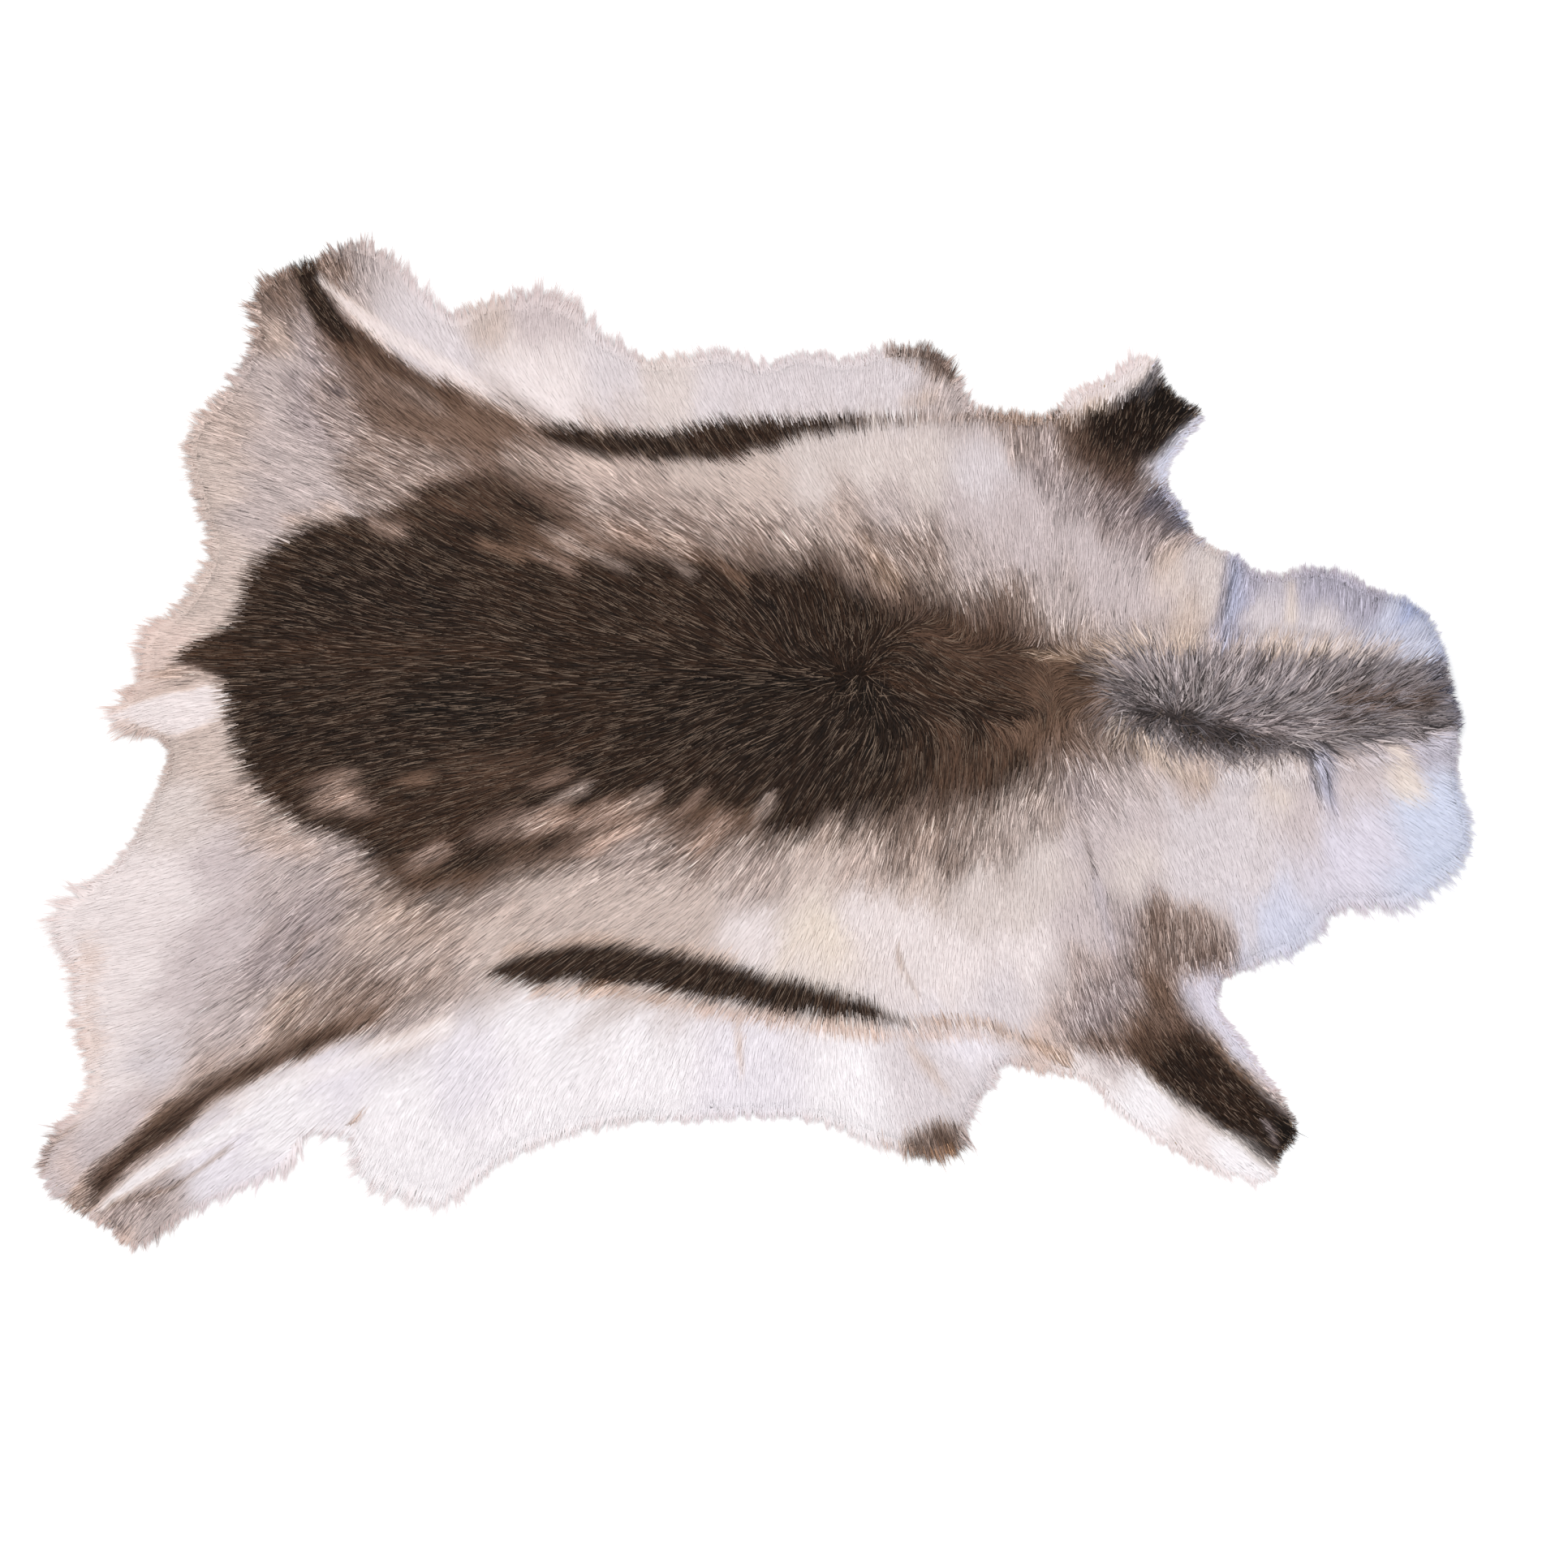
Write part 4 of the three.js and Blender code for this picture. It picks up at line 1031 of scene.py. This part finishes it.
def mesh_points(mesh):
    points = np.zeros(len(mesh.vertices) * 3, np.float32)
    mesh.vertices.foreach_get("co", points)
    return points.reshape(-1, 3) / MM


def lightness(colours):
    """How light each colour looks to the eye, from 0 to 1."""
    return colours.mean(axis=1, keepdims=True) ** (1 / 2.2)


def underfur_colour_and_painted_shade(x, y):
    """The underfur's colour: nearly the hair's own where it is pale, darkened as painted shade for the
    gaps among the hairs where the coat is dark.
    """
    colour = at(coat_colour, x, y)
    return colour * np.interp(lightness(colour), (0.25, 0.7, 0.9), (0.3, 0.7, 1.0))


points = mesh_points(undercoat.data)
colour_vertices(undercoat.data, underfur_colour_and_painted_shade(points[:, 0], points[:, 1]))
undercoat.data.shade_smooth()
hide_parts("reindeer_hide")


# The fur

def hair_template(bends):
    """One hair as a three-sided spike along +X, 1 long and 1 across, with that many bends."""
    bm = bmesh.new()
    bmesh.ops.create_cone(bm, cap_ends=True, segments=3, radius1=0.5, radius2=0.0, depth=1)
    bmesh.ops.remove_doubles(bm, verts=bm.verts, dist=1e-4)
    for v in bm.verts:
        x, y, z = v.co
        v.co = (z + 0.5, -y, x)
    for k in range(bends):
        cut = (k + 1) / (bends + 1)
        bmesh.ops.bisect_plane(bm, geom=bm.verts[:] + bm.edges[:] + bm.faces[:],
                               plane_co=(cut, 0, 0), plane_no=(1, 0, 0))
    bmesh.ops.recalc_face_normals(bm, faces=bm.faces)
    bm.verts.index_update()
    corners = np.array([v.co for v in bm.verts])
    faces = [[v.index for v in f.verts] for f in bm.faces]
    bm.free()
    return corners, faces


def hair_mesh(name, template, hairs):
    """Joins one bent, coloured copy of the template for each hair into one mesh. Each hair has a
    cell of its own on the piece's map, so that its colours can be kept."""
    corners, faces = template
    count = len(hairs["x"])
    t = corners[:, 0]
    across = np.where(t < 0.99, corners[:, 1] * (1 + hairs["belly"] * t * (1 - t)), 0)
    upward = np.where(t < 0.99, corners[:, 2], 0)
    side = np.stack([-hairs["aim"][:, 1], hairs["aim"][:, 0]], axis=1)
    points = np.zeros((count, len(t), 3))
    along = hairs["length"][:, None] * t
    sideways = hairs["width"][:, None] * across + hairs["sag"][:, None] * t * t
    for axis, start in enumerate((hairs["x"], hairs["y"])):
        points[:, :, axis] = (start[:, None] + hairs["aim"][:, None, axis] * along
                              + side[:, None, axis] * sideways)
    points[:, :, 2] = (hairs["z"][:, None] * (1 - t) + hairs["tip_z"][:, None] * t
                       + hairs["hump"][:, None] * 4 * t * (1 - t)
                       + hairs["height"][:, None] * upward)
    points[:, :, 2] = np.maximum(points[:, :, 2], 0.2)
    mesh = bpy.data.meshes.new(name)
    mesh.vertices.add(count * len(t))
    mesh.vertices.foreach_set("co", (points * MM).astype(np.float32).ravel())
    sizes = np.array([len(f) for f in faces])
    corner_ids = np.concatenate([np.array(f) for f in faces])
    mesh.loops.add(count * len(corner_ids))
    shifted = corner_ids[None, :] + np.arange(count)[:, None] * len(t)
    mesh.loops.foreach_set("vertex_index", shifted.astype(np.int32).ravel())
    mesh.polygons.add(count * len(faces))
    starts = np.concatenate([[0], np.cumsum(sizes)[:-1]])
    starts = starts[None, :] + np.arange(count)[:, None] * len(corner_ids)
    mesh.polygons.foreach_set("loop_start", starts.astype(np.int32).ravel())
    mesh.update(calc_edges=True)
    mesh.shade_flat()
    colours = (hairs["root_colour"][:, None, :] * (1 - t[None, :, None])
               + hairs["tip_colour"][:, None, :] * t[None, :, None])
    colour_vertices(mesh, colours.reshape(-1, 3))
    cells = math.ceil(math.sqrt(count))
    cell_u = (np.arange(count) % cells)[:, None]
    cell_v = (np.arange(count) // cells)[:, None]
    own_u = 0.5 + 0.76 * corners[corner_ids, 1] * (1 - t[corner_ids])
    own_v = 0.08 + 0.84 * t[corner_ids]
    uv = np.stack([(cell_u + own_u) / cells, (cell_v + own_v) / cells], axis=2)
    layer = mesh.uv_layers.new(name="OFBake")
    layer.data.foreach_set("uv", uv.astype(np.float32).ravel())
    return mesh


def scatter(count, allowed):
    """About that many points over the plan where a field is above zero, evenly spread."""
    cell = math.sqrt((allowed > 0).sum() * PLAN_STEP**2 / count)
    xs = np.arange(plan_x[0], plan_x[-1], cell)
    ys = np.arange(plan_y[0], plan_y[-1], cell)
    x, y = (a.ravel() for a in np.meshgrid(xs, ys))
    x = x + draw.uniform(-0.5, 0.5, x.shape) * cell
    y = y + draw.uniform(-0.5, 0.5, y.shape) * cell
    keep = at(allowed, x, y) > 0
    return x[keep], y[keep]


def clump_centres(x, y, step, seed):
    """The nearest of a jittered grid of clump centres for each point."""
    rng = np.random.default_rng(seed)
    shape = (int(1000 / step) * 2, int(1000 / step) * 2)
    jitter = rng.uniform(0.1, 0.9, shape + (2,))
    i = np.floor(x / step).astype(int)
    j = np.floor(y / step).astype(int)
    best = np.full(x.shape, np.inf)
    cx = np.zeros(x.shape)
    cy = np.zeros(x.shape)
    for di in (-1, 0, 1):
        for dj in (-1, 0, 1):
            spot = jitter[(i + di) % shape[0], (j + dj) % shape[1]]
            px = (i + di + spot[:, 0]) * step
            py = (j + dj + spot[:, 1]) * step
            away = (px - x) ** 2 + (py - y) ** 2
            closer = away < best
            best = np.where(closer, away, best)
            cx = np.where(closer, px, cx)
            cy = np.where(closer, py, cy)
    return cx, cy


def clump_value(cx, cy, seed, low, high):
    """One random value for each clump centre."""
    table = np.random.default_rng(seed).uniform(low, high, 997)
    return table[(cx * 7 + cy * 13).astype(int) % 997]


def turned(aim, angle):
    c = np.cos(angle)
    s = np.sin(angle)
    return np.stack([aim[:, 0] * c - aim[:, 1] * s, aim[:, 0] * s + aim[:, 1] * c], axis=1)


def unit_rows(vectors):
    return vectors / np.maximum(np.linalg.norm(vectors, axis=1, keepdims=True), 1e-6)


def gathered(place, aim, clump, clump_aim, length, gather):
    """The hairs' aims and lengths once their tips are drawn towards those of their clumps."""
    here = np.stack(place, axis=1)
    tip = (here + aim * length[:, None]) * (1 - gather[:, None])
    tip += (np.stack(clump, axis=1) + clump_aim * length[:, None]) * gather[:, None]
    span = tip - here
    return unit_rows(span), np.linalg.norm(span, axis=1)


ROOT_SHOWS = 0.6  # where along a hair its visible part starts
TIP_SHOWS = 0.78
MIXED_LEVELS = (0.26, 0.5, 0.58, 0.78)  # pale and dark hairs mix most between the middle two
DARK_LEVEL = 0.36  # a coat with less than this lightness counts as dark,
DARK_RANGE = 0.12  # and wholly so when it has this much less
BROAD_SHARE = 0.6  # of the broad streaks, beside the fine ones
CHANGE_LEAST = 0.35  # no hair is darkened below this share

# How much the hairs differ from the coat's colour. Each row is what white hair does, and what
# is added where pale and dark hairs mix and where the coat is dark.
STREAK_CHANGE = (0.012, 0.10, 0.10)
OWN_CHANGE = (0.01, 0.46, 0.5)
LEVEL_CHANGE = (1, 0.2, -0.27)
# The roots darkened as painted shade, where they lie deep among the other hairs.
ROOT_PAINTED_SHADE = (0.97, -0.2, -0.25)
TIP_LEVEL = (1.01, 0.1, 0.1)

DEEP_SHARE = 0.3  # of the mixed hairs, these are much darker
DEEP_CHANGE = (0.3, 0.75)
GREYING = 0.45  # the paler of the mixed hairs are greyer
SILVER = np.array(linear("927C6B"))
SILVER_SHARE = 0.22  # of the dark hairs
SILVER_COVER = (0.25, 0.9)


def hair_shades(x, y, aim, length):
    """A root and a tip colour for each hair, and whether it is one of the silvery ones. White hair
    hardly varies, the fawn parts mix pale and dark hairs, and the dark parts have silvery ones."""
    comb = draw.normal(0, 1, x.shape) * at(mixing, x, y)
    shades = []
    for share in (ROOT_SHOWS, TIP_SHOWS):
        along = length * share + comb
        shades.append(at(coat_colour, x + aim[:, 0] * along, y + aim[:, 1] * along))
    level = lightness(shades[0])
    mixed = np.interp(level, MIXED_LEVELS, (0, 1, 1, 0))
    dark = np.clip((DARK_LEVEL - level) / DARK_RANGE, 0, 1)

    def amount(row):
        return row[0] + row[1] * mixed + row[2] * dark

    streak = at(fine_streaks, x, y)[:, None] + BROAD_SHARE * at(broad_streaks, x, y)[:, None]
    change = np.clip(1 + streak * amount(STREAK_CHANGE), CHANGE_LEAST, 1.8)
    own = draw.normal(0, 1, level.shape) * amount(OWN_CHANGE)
    change = change * np.clip(1 + own, CHANGE_LEAST, 1.9)
    is_deep = draw.random(level.shape) < DEEP_SHARE * mixed
    deep = is_deep * draw.uniform(*DEEP_CHANGE, level.shape)
    change = change * (1 - deep) * amount(LEVEL_CHANGE)
    is_silver = draw.random(level.shape) < SILVER_SHARE * dark
    silver = is_silver * draw.uniform(*SILVER_COVER, level.shape)
    faded = np.clip(change - 1, 0, 0.7) * mixed * GREYING
    shades = [c * (1 - faded) + c.mean(axis=1, keepdims=True) * faded for c in shades]
    root, tip = (colour * change * (1 - silver) + SILVER * silver for colour in shades)
    # The roots darkened as painted shade among the other hairs, the tips a little lighter.
    return root * amount(ROOT_PAINTED_SHADE), tip * amount(TIP_LEVEL), is_silver[:, 0]


def kept_near_edge(x, y, aim, length):
    """Shortens the hairs that would pass the outline by more than the coat's own reach there."""
    allowed = at(length_map, x, y)[:, 1] * draw.uniform(0.1, 1.0, x.shape)
    for share in (0.8, 0.6, 0.45, 0.3):
        passing = -at(edge, x + aim[:, 0] * length, y + aim[:, 1] * length)
        length = np.where(passing > allowed, length * share / min(1, share + 0.2), length)
    return length


HAIR_COUNT = 178000
HAIR_WIDTH = 1.1
HAIR_HEIGHT = 0.3
FLAT_MARGIN = 4  # roots keep this far inside the outline
CLUMP_STEP = 8
CLUMP_GATHER = (0.15, 0.5)
WHORL = (97, 66)  # the hair parts here in all directions, its middle ruffled
WHORL_REACH = 30
ROOT_SINK = (2.4, 4.2)  # how far the roots lie below the coat's surface
TIP_SINK = 0.7  # and how far the tips do, give or take the next value
TIP_SPREAD = 1.1
RIM_TIP_HEIGHT = 3.5  # of the tips that lie past the outline


def body_hairs():
    """The guard hairs all over the hide, in slight clumps, smooth where the coat is white."""
    x, y = scatter(HAIR_COUNT, edge - FLAT_MARGIN)
    aim = unit_rows(at(lie, x, y))
    cx, cy = clump_centres(x, y, CLUMP_STEP, 21)
    length = at(length_map, x, y)[:, 0] * draw.uniform(0.72, 1.15, x.shape)
    whorl = np.exp(-(np.hypot(x - WHORL[0], y - WHORL[1]) / WHORL_REACH) ** 2)
    aim = turned(aim, draw.normal(0, 0.10 + 0.9 * whorl))
    centre_aim = unit_rows(at(lie, cx, cy))
    gather = draw.uniform(*CLUMP_GATHER, x.shape)
    aim, length = gathered((x, y), aim, (cx, cy), centre_aim, length, gather)
    length = kept_near_edge(x, y, aim, length)
    tip_x = x + aim[:, 0] * length
    tip_y = y + aim[:, 1] * length
    tip_depth = np.where(at(edge, tip_x, tip_y) > 0, at(coat_depth, tip_x, tip_y), RIM_TIP_HEIGHT)
    root_colour, tip_colour, silvery = hair_shades(x, y, aim, length)
    even = np.clip((lightness(tip_colour)[:, 0] - 0.78) / 0.14, 0, 1)
    width = HAIR_WIDTH * draw.uniform(0.75, 1.25, x.shape) * np.where(silvery, 0.75, 1)
    height = HAIR_HEIGHT * draw.uniform(0.8, 1.2, x.shape)
    root_z = at(coat_depth, x, y) - draw.uniform(*ROOT_SINK, x.shape)
    lift = draw.uniform(-TIP_SPREAD, TIP_SPREAD, x.shape) * (1 - 0.6 * even)
    return {
        "x": x, "y": y, "aim": aim, "length": length, "belly": 0.0,
        "width": width * (1 + 0.4 * even), "height": height * (1 - 0.5 * even),
        "sag": np.zeros(x.shape), "hump": np.zeros(x.shape),
        "z": np.maximum(root_z, 1.8), "tip_z": np.maximum(tip_depth - TIP_SINK + lift, 1.0),
        "root_colour": root_colour, "tip_colour": tip_colour,
    }


def chosen(hairs, rows):
    """The hairs at those rows, of a table of hairs."""
    return {name: (v if np.ndim(v) == 0 else v[rows]) for name, v in hairs.items()}


FUR_PIECES = ["coat_rump", "coat_loin", "coat_ribs", "coat_shoulder", "coat_neck"]

needle = hair_template(0)
coat_hairs = body_hairs()
order = np.argsort(coat_hairs["x"], kind="stable")
for name, rows in zip(FUR_PIECES, np.array_split(order, len(FUR_PIECES))):
    mesh = hair_mesh(name, needle, chosen(coat_hairs, np.sort(rows)))
    to_piece(name, mesh, hair_finish)

MANE_COUNT = 7200
MANE_CLUMP = 12
MANE_OUTLINE = next(row[4] for row in PATCHES if row[0] == "mane")
MANE_CREST = next(row[4] for row in STROKES if row[0] == "mane crest")
MANE_SPREAD = 7.5  # how far past its outline the mane's hairs are rooted
MANE_SILVER = np.array(linear("CEC4CA"))
MANE_SILVERED = ((307, 370, 600, 636), (0.1, 1, 1, 0.3))  # less at the mane's two ends
MANE_START = 290
MANE_DARKENING = 70  # the mane is wholly dark this far past its start
CREST_REACH = 26  # how far the crest's frizz spreads


def mane_locks():
    """The mane's longer, coarser hairs: dark at the root with silver tips, gathered into
    curved locks, and short and frizzy along the crest."""
    past_outline = outline_depth(MANE_OUTLINE)(plan_xx, plan_yy) + MANE_SPREAD
    x, y = scatter(MANE_COUNT, np.minimum(past_outline, MANE_SPREAD) * (edge > 3))
    frizz = np.clip(1 - line_distance(x, y, MANE_CREST)[0] / CREST_REACH, 0, 1)
    cx, cy = clump_centres(x, y, MANE_CLUMP, 22)
    length = draw.uniform(20, 34, x.shape) * (1 - 0.4 * frizz)
    aim = unit_rows(at(lie, x, y))
    centre_aim = turned(unit_rows(at(lie, cx, cy)), clump_value(cx, cy, 25, -0.25, 0.25))
    gather = draw.uniform(0.35, 0.85, x.shape) * (1 - 0.7 * frizz)
    aim, length = gathered((x, y), aim, (cx, cy), centre_aim, length, gather)
    length = kept_near_edge(x, y, aim, length)
    aim = turned(aim, draw.normal(0, 0.1 + 0.7 * frizz))
    depth = at(coat_depth, x, y)
    tip_depth = at(coat_depth, x + aim[:, 0] * length, y + aim[:, 1] * length)
    root, _, _ = hair_shades(x, y, aim, length * 0.5)
    dark = np.clip((0.3 - root.mean(axis=1, keepdims=True)) / 0.15, 0, 1)
    dark = dark * np.clip((x - MANE_START) / MANE_DARKENING, 0.3, 1)[:, None]
    clump_light = clump_value(cx, cy, 26, -0.7, 0.7)[:, None]
    light = np.clip(clump_light + draw.normal(0.05, 0.5, dark.shape), 0, 1)
    silvered = np.interp(x, *MANE_SILVERED)[:, None]
    light = light * dark * silvered * (1 - 0.6 * frizz[:, None])
    shade = 1 + dark * (draw.uniform(-0.5, 0.25, dark.shape) + 0.5 * np.minimum(clump_light, 0))
    lock = root * shade
    return {
        "x": x, "y": y, "aim": aim, "length": length, "belly": 0.8,
        "width": draw.uniform(1.2, 2.0, x.shape) * (1 - 0.5 * light[:, 0]),
        "height": draw.uniform(0.5, 0.9, x.shape),
        "sag": draw.normal(0, 3.5, x.shape), "hump": draw.uniform(0.4, 2.2, x.shape),
        "z": depth - draw.uniform(1.5, 3.5, x.shape),
        "tip_z": np.maximum(tip_depth + draw.uniform(-1.2, 0.6, x.shape) + light[:, 0], 1.0),
        "root_colour": lock * (1 - 0.5 * dark),
        "tip_colour": lock * (1 - light) + MANE_SILVER * light,
    }


FRINGE_COUNT = 15000
FRINGE_CLUMP = 6
FRINGE_BAND = (1, 11)  # how far inside the outline its hairs are rooted
FRINGE_LENGTHS = (5, 40)
RIM_BLUSH = np.array(linear("DDBFB6"))


def rim_fringe():
    """The hairs that pass the skin's edge, in pointed bent tufts, their tips a little rosy."""
    x, y = scatter(FRINGE_COUNT, np.minimum(edge - FRINGE_BAND[0], FRINGE_BAND[1] - edge))
    slope_y, slope_x = np.gradient(edge, PLAN_STEP)
    outward = unit_rows(-np.stack([at(slope_x, x, y), at(slope_y, x, y)], axis=1))
    cx, cy = clump_centres(x, y, FRINGE_CLUMP, 23)
    tuft_aim = unit_rows(outward * 0.9 + unit_rows(at(lie, cx, cy)))
    tuft_aim = turned(tuft_aim, clump_value(cx, cy, 27, -0.3, 0.3))
    aim = turned(tuft_aim, draw.normal(0, 0.2, x.shape))
    facing = np.clip((aim * outward).sum(axis=1), 0.35, 1)
    tuft = clump_value(cx, cy, 24, 0.4, 1.3)
    reach = at(length_map, x, y)[:, 1] * tuft * draw.uniform(0.5, 1.05, x.shape)
    length = np.clip((at(edge, x, y) + reach) / facing, *FRINGE_LENGTHS)
    gather = draw.uniform(0.4, 1.0, x.shape)
    aim, length = gathered((x, y), aim, (cx, cy), tuft_aim, length, gather)
    root, tip, _ = hair_shades(x, y, aim, length * 0.5)
    blush = np.clip(tip.mean(axis=1, keepdims=True) / 0.6, 0, 1) * 0.5
    depth = at(coat_depth, x, y)
    return {
        "x": x, "y": y, "aim": aim, "length": length, "belly": 0.6,
        "width": draw.uniform(0.8, 1.5, x.shape), "height": draw.uniform(0.2, 0.5, x.shape),
        "sag": draw.normal(0, 1.6, x.shape), "hump": draw.uniform(0, 0.8, x.shape),
        "z": np.clip(depth - 3.5, 1.6, 9), "tip_z": draw.uniform(0.6, 2.4, x.shape),
        "root_colour": root * 1.02, "tip_colour": tip * (1 - blush) + RIM_BLUSH * tip * blush,
    }


for name, bends, hairs in (("mane_locks", 2, mane_locks()), ("rim_fringe", 0, rim_fringe())):
    mesh = hair_mesh(name, hair_template(bends), hairs)
    to_piece(name, mesh, hair_finish)


# Floor, light and camera

FLOOR_SIZE = 12.0


def pale_floor():
    bm = bmesh.new()
    bmesh.ops.create_grid(bm, x_segments=1, y_segments=1, size=FLOOR_SIZE / 2)
    mesh = bpy.data.meshes.new("floor")
    bm.to_mesh(mesh)
    bm.free()
    floor = bpy.data.objects.new("floor", mesh)
    floor.location.z = -0.0005  # just below the skin's underside
    bpy.context.scene.collection.objects.link(floor)
    paper = {"Base Color": (0.93, 0.93, 0.93, 1), "Roughness": 0.9}
    mesh.materials.append(new_material("white_paper", paper)[0])


def soft_light(name, place, size, watts, colour):
    light = bpy.data.lights.new(name, "AREA")
    light.shape = "DISK"
    light.size = size
    light.energy = watts
    light.color = colour
    lamp = bpy.data.objects.new(name, light)
    lamp.location = place
    lamp.rotation_euler = (-Vector(place)).to_track_quat("-Z", "Y").to_euler()
    bpy.context.scene.collection.objects.link(lamp)


# The photograph's frame is 1418 mm wide at the coat, centred here.
VIEW_WIDTH = 1.418
VIEW_CENTRE = (0.0283, -0.0319)
CAMERA_HEIGHT = 3.2
COAT_LEVEL = 0.018

pale_floor()
soft_light("key", (-0.55, 0.6, 3.15), 2.2, 73, (1.0, 0.987, 0.975))
soft_light("fill", (1.3, -0.5, 2.8), 1.8, 26, (0.89, 0.94, 1.0))
world = bpy.data.worlds.new("studio")
world.use_nodes = True
world.node_tree.nodes["Background"].inputs["Color"].default_value = (1, 1, 1, 1)
world.node_tree.nodes["Background"].inputs["Strength"].default_value = 0.55
bpy.context.scene.world = world
bpy.context.scene.view_settings.view_transform = "Standard"

lens = bpy.data.cameras.new("overhead")
lens.sensor_width = 36
lens.lens = lens.sensor_width * (CAMERA_HEIGHT - COAT_LEVEL) / VIEW_WIDTH
camera = bpy.data.objects.new("overhead", lens)
camera.location = (*VIEW_CENTRE, CAMERA_HEIGHT)
bpy.context.scene.collection.objects.link(camera)
bpy.context.scene.camera = camera
